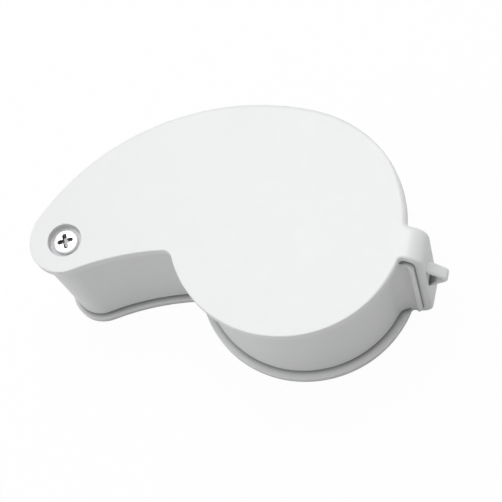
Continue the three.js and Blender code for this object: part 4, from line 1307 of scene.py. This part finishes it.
class LOUPE_OT_studio(BuildOperator, bpy.types.Operator):
    """Set up the camera, the lamps, the floor and the white surroundings"""

    bl_idname = "loupe.studio"
    bl_label = "Studio"

    def build(self, scene):
        settings = scene.loupe_studio
        self.camera(scene, settings)
        for name, (place, size) in SOFTBOXES.items():
            self.softbox(scene, name, place, size, getattr(settings, name))
        self.floor(settings)
        self.surroundings(scene, settings)
        scene.view_settings.view_transform = "Standard"

    def camera(self, scene, settings):
        """The camera, where the photograph was taken from."""
        data = bpy.data.cameras.new("camera")
        data.lens = settings.lens
        data.sensor_width = settings.sensor
        data.clip_start = 0.01
        data.clip_end = 10
        camera = bpy.data.objects.new("camera", data)
        camera.location = settings.place
        camera.rotation_euler = (settings.tilt, settings.roll, settings.pan)
        scene.collection.objects.link(camera)
        scene.camera = camera

    def softbox(self, scene, name, place, size, watts):
        """A rectangular lamp that faces the object."""
        data = bpy.data.lights.new(name, "AREA")
        data.shape = "RECTANGLE"
        data.size, data.size_y = size
        data.energy = watts
        lamp = bpy.data.objects.new(name, data)
        lamp.location = place
        lamp.rotation_euler = Vector(place).to_track_quat("Z", "Y").to_euler()
        scene.collection.objects.link(lamp)

    def floor(self, settings):
        """A round white floor, whose centre the loupe lies on."""
        bm = bmesh.new()
        bmesh.ops.create_circle(
            bm, cap_ends=True, segments=settings.floor_sides, radius=settings.floor_radius
        )
        floor = solid("floor", bm)
        finish = Finish("floor")
        seen = seen_directly(finish.tree, "Is Transmission Ray")
        bounce, tone = settings.floor_bounce, settings.floor_tone
        finish.coloured(seen, [bounce] * 3, [tone] * 3, low=0, high=1)
        finish.roughened(finish.grain(40, 2), 0.85, 0.95)
        finish.surface(Specular_IOR_Level=0.0)
        inputs = {0: seen, 1: settings.floor_glow}
        part = finish.node("ShaderNodeMath", inputs, operation="MULTIPLY").outputs["Value"]
        glow = finish.node("ShaderNodeEmission").outputs["Emission"]
        inputs = {"Fac": part, 1: finish.shader.outputs["BSDF"], 2: glow}
        mix = finish.node("ShaderNodeMixShader", inputs)
        output = finish.tree.nodes["Material Output"]
        feed(finish.tree, output, {"Surface": mix.outputs["Shader"]})
        floor.data.materials.append(finish.material)

    def surroundings(self, scene, settings):
        """White where the camera, metal or glass sees it, and dimmer as light."""
        world = bpy.data.worlds.new("room")
        scene.world = world
        world.use_nodes = True
        tree = world.node_tree
        here = node_in(tree, "ShaderNodeTexCoord").outputs["Generated"]
        inputs = {0: here, 1: settings.ambient_from}
        facing = node_in(tree, "ShaderNodeVectorMath", inputs, operation="DOT_PRODUCT")
        inputs = {
            "Value": facing.outputs["Value"],
            "From Min": -1,
            "To Min": settings.ambient * settings.ambient_low,
            "To Max": settings.ambient,
        }
        level = node_in(tree, "ShaderNodeMapRange", inputs)
        seen = seen_directly(tree, "Is Glossy Ray", "Is Transmission Ray")
        choice = node_in(tree, "ShaderNodeMix", {0: seen, 2: level.outputs["Result"], 3: 1})
        inputs = {"Color": (1, 1, 1, 1), "Strength": choice.outputs[0]}
        feed(tree, tree.nodes["Background"], inputs)


def seen_directly(tree, *others):
    """1 for camera rays and the other kinds named, otherwise 0."""
    path = node_in(tree, "ShaderNodeLightPath")
    total = path.outputs["Is Camera Ray"]
    for name in others:
        inputs = {0: total, 1: path.outputs[name]}
        total = node_in(tree, "ShaderNodeMath", inputs, operation="MAXIMUM").outputs["Value"]
    return total


OPERATORS = (
    LOUPE_OT_finishes,
    LOUPE_OT_cover,
    LOUPE_OT_case,
    LOUPE_OT_base_screws,
    LOUPE_OT_pivot,
    LOUPE_OT_optics,
    LOUPE_OT_lamps,
    LOUPE_OT_power,
    LOUPE_OT_switch,
    LOUPE_OT_studio,
)
SETTINGS = {
    "loupe_drop": DropSizes,
    "loupe_cover": CoverSizes,
    "loupe_case": CaseSizes,
    "loupe_screws": ScrewSizes,
    "loupe_optics": OpticSizes,
    "loupe_finishes": FinishColours,
    "loupe_studio": StudioSettings,
}


class LOUPE_PT_sidebar(bpy.types.Panel):
    """The loupe's operators and sizes"""

    bl_label = "Illuminated loupe"
    bl_space_type = "VIEW_3D"
    bl_region_type = "UI"
    bl_category = "Loupe"

    def draw(self, context):
        for operator in OPERATORS:
            self.layout.operator(operator.bl_idname)
        for name, group in SETTINGS.items():
            box = self.layout.box()
            for entry in group.__annotations__:
                box.prop(getattr(context.scene, name), entry)


def register():
    for group in SETTINGS.values():
        bpy.utils.register_class(group)
    for name, group in SETTINGS.items():
        setattr(bpy.types.Scene, name, PointerProperty(type=group))
    for operator in OPERATORS:
        bpy.utils.register_class(operator)
    bpy.utils.register_class(LOUPE_PT_sidebar)


def unregister():
    bpy.utils.unregister_class(LOUPE_PT_sidebar)
    for operator in reversed(OPERATORS):
        bpy.utils.unregister_class(operator)
    for name, group in SETTINGS.items():
        delattr(bpy.types.Scene, name)
        bpy.utils.unregister_class(group)


def main():
    register()
    for operator in OPERATORS:
        group, name = operator.bl_idname.split(".")
        getattr(getattr(bpy.ops, group), name)()


if __name__ == "__main__":
    main()
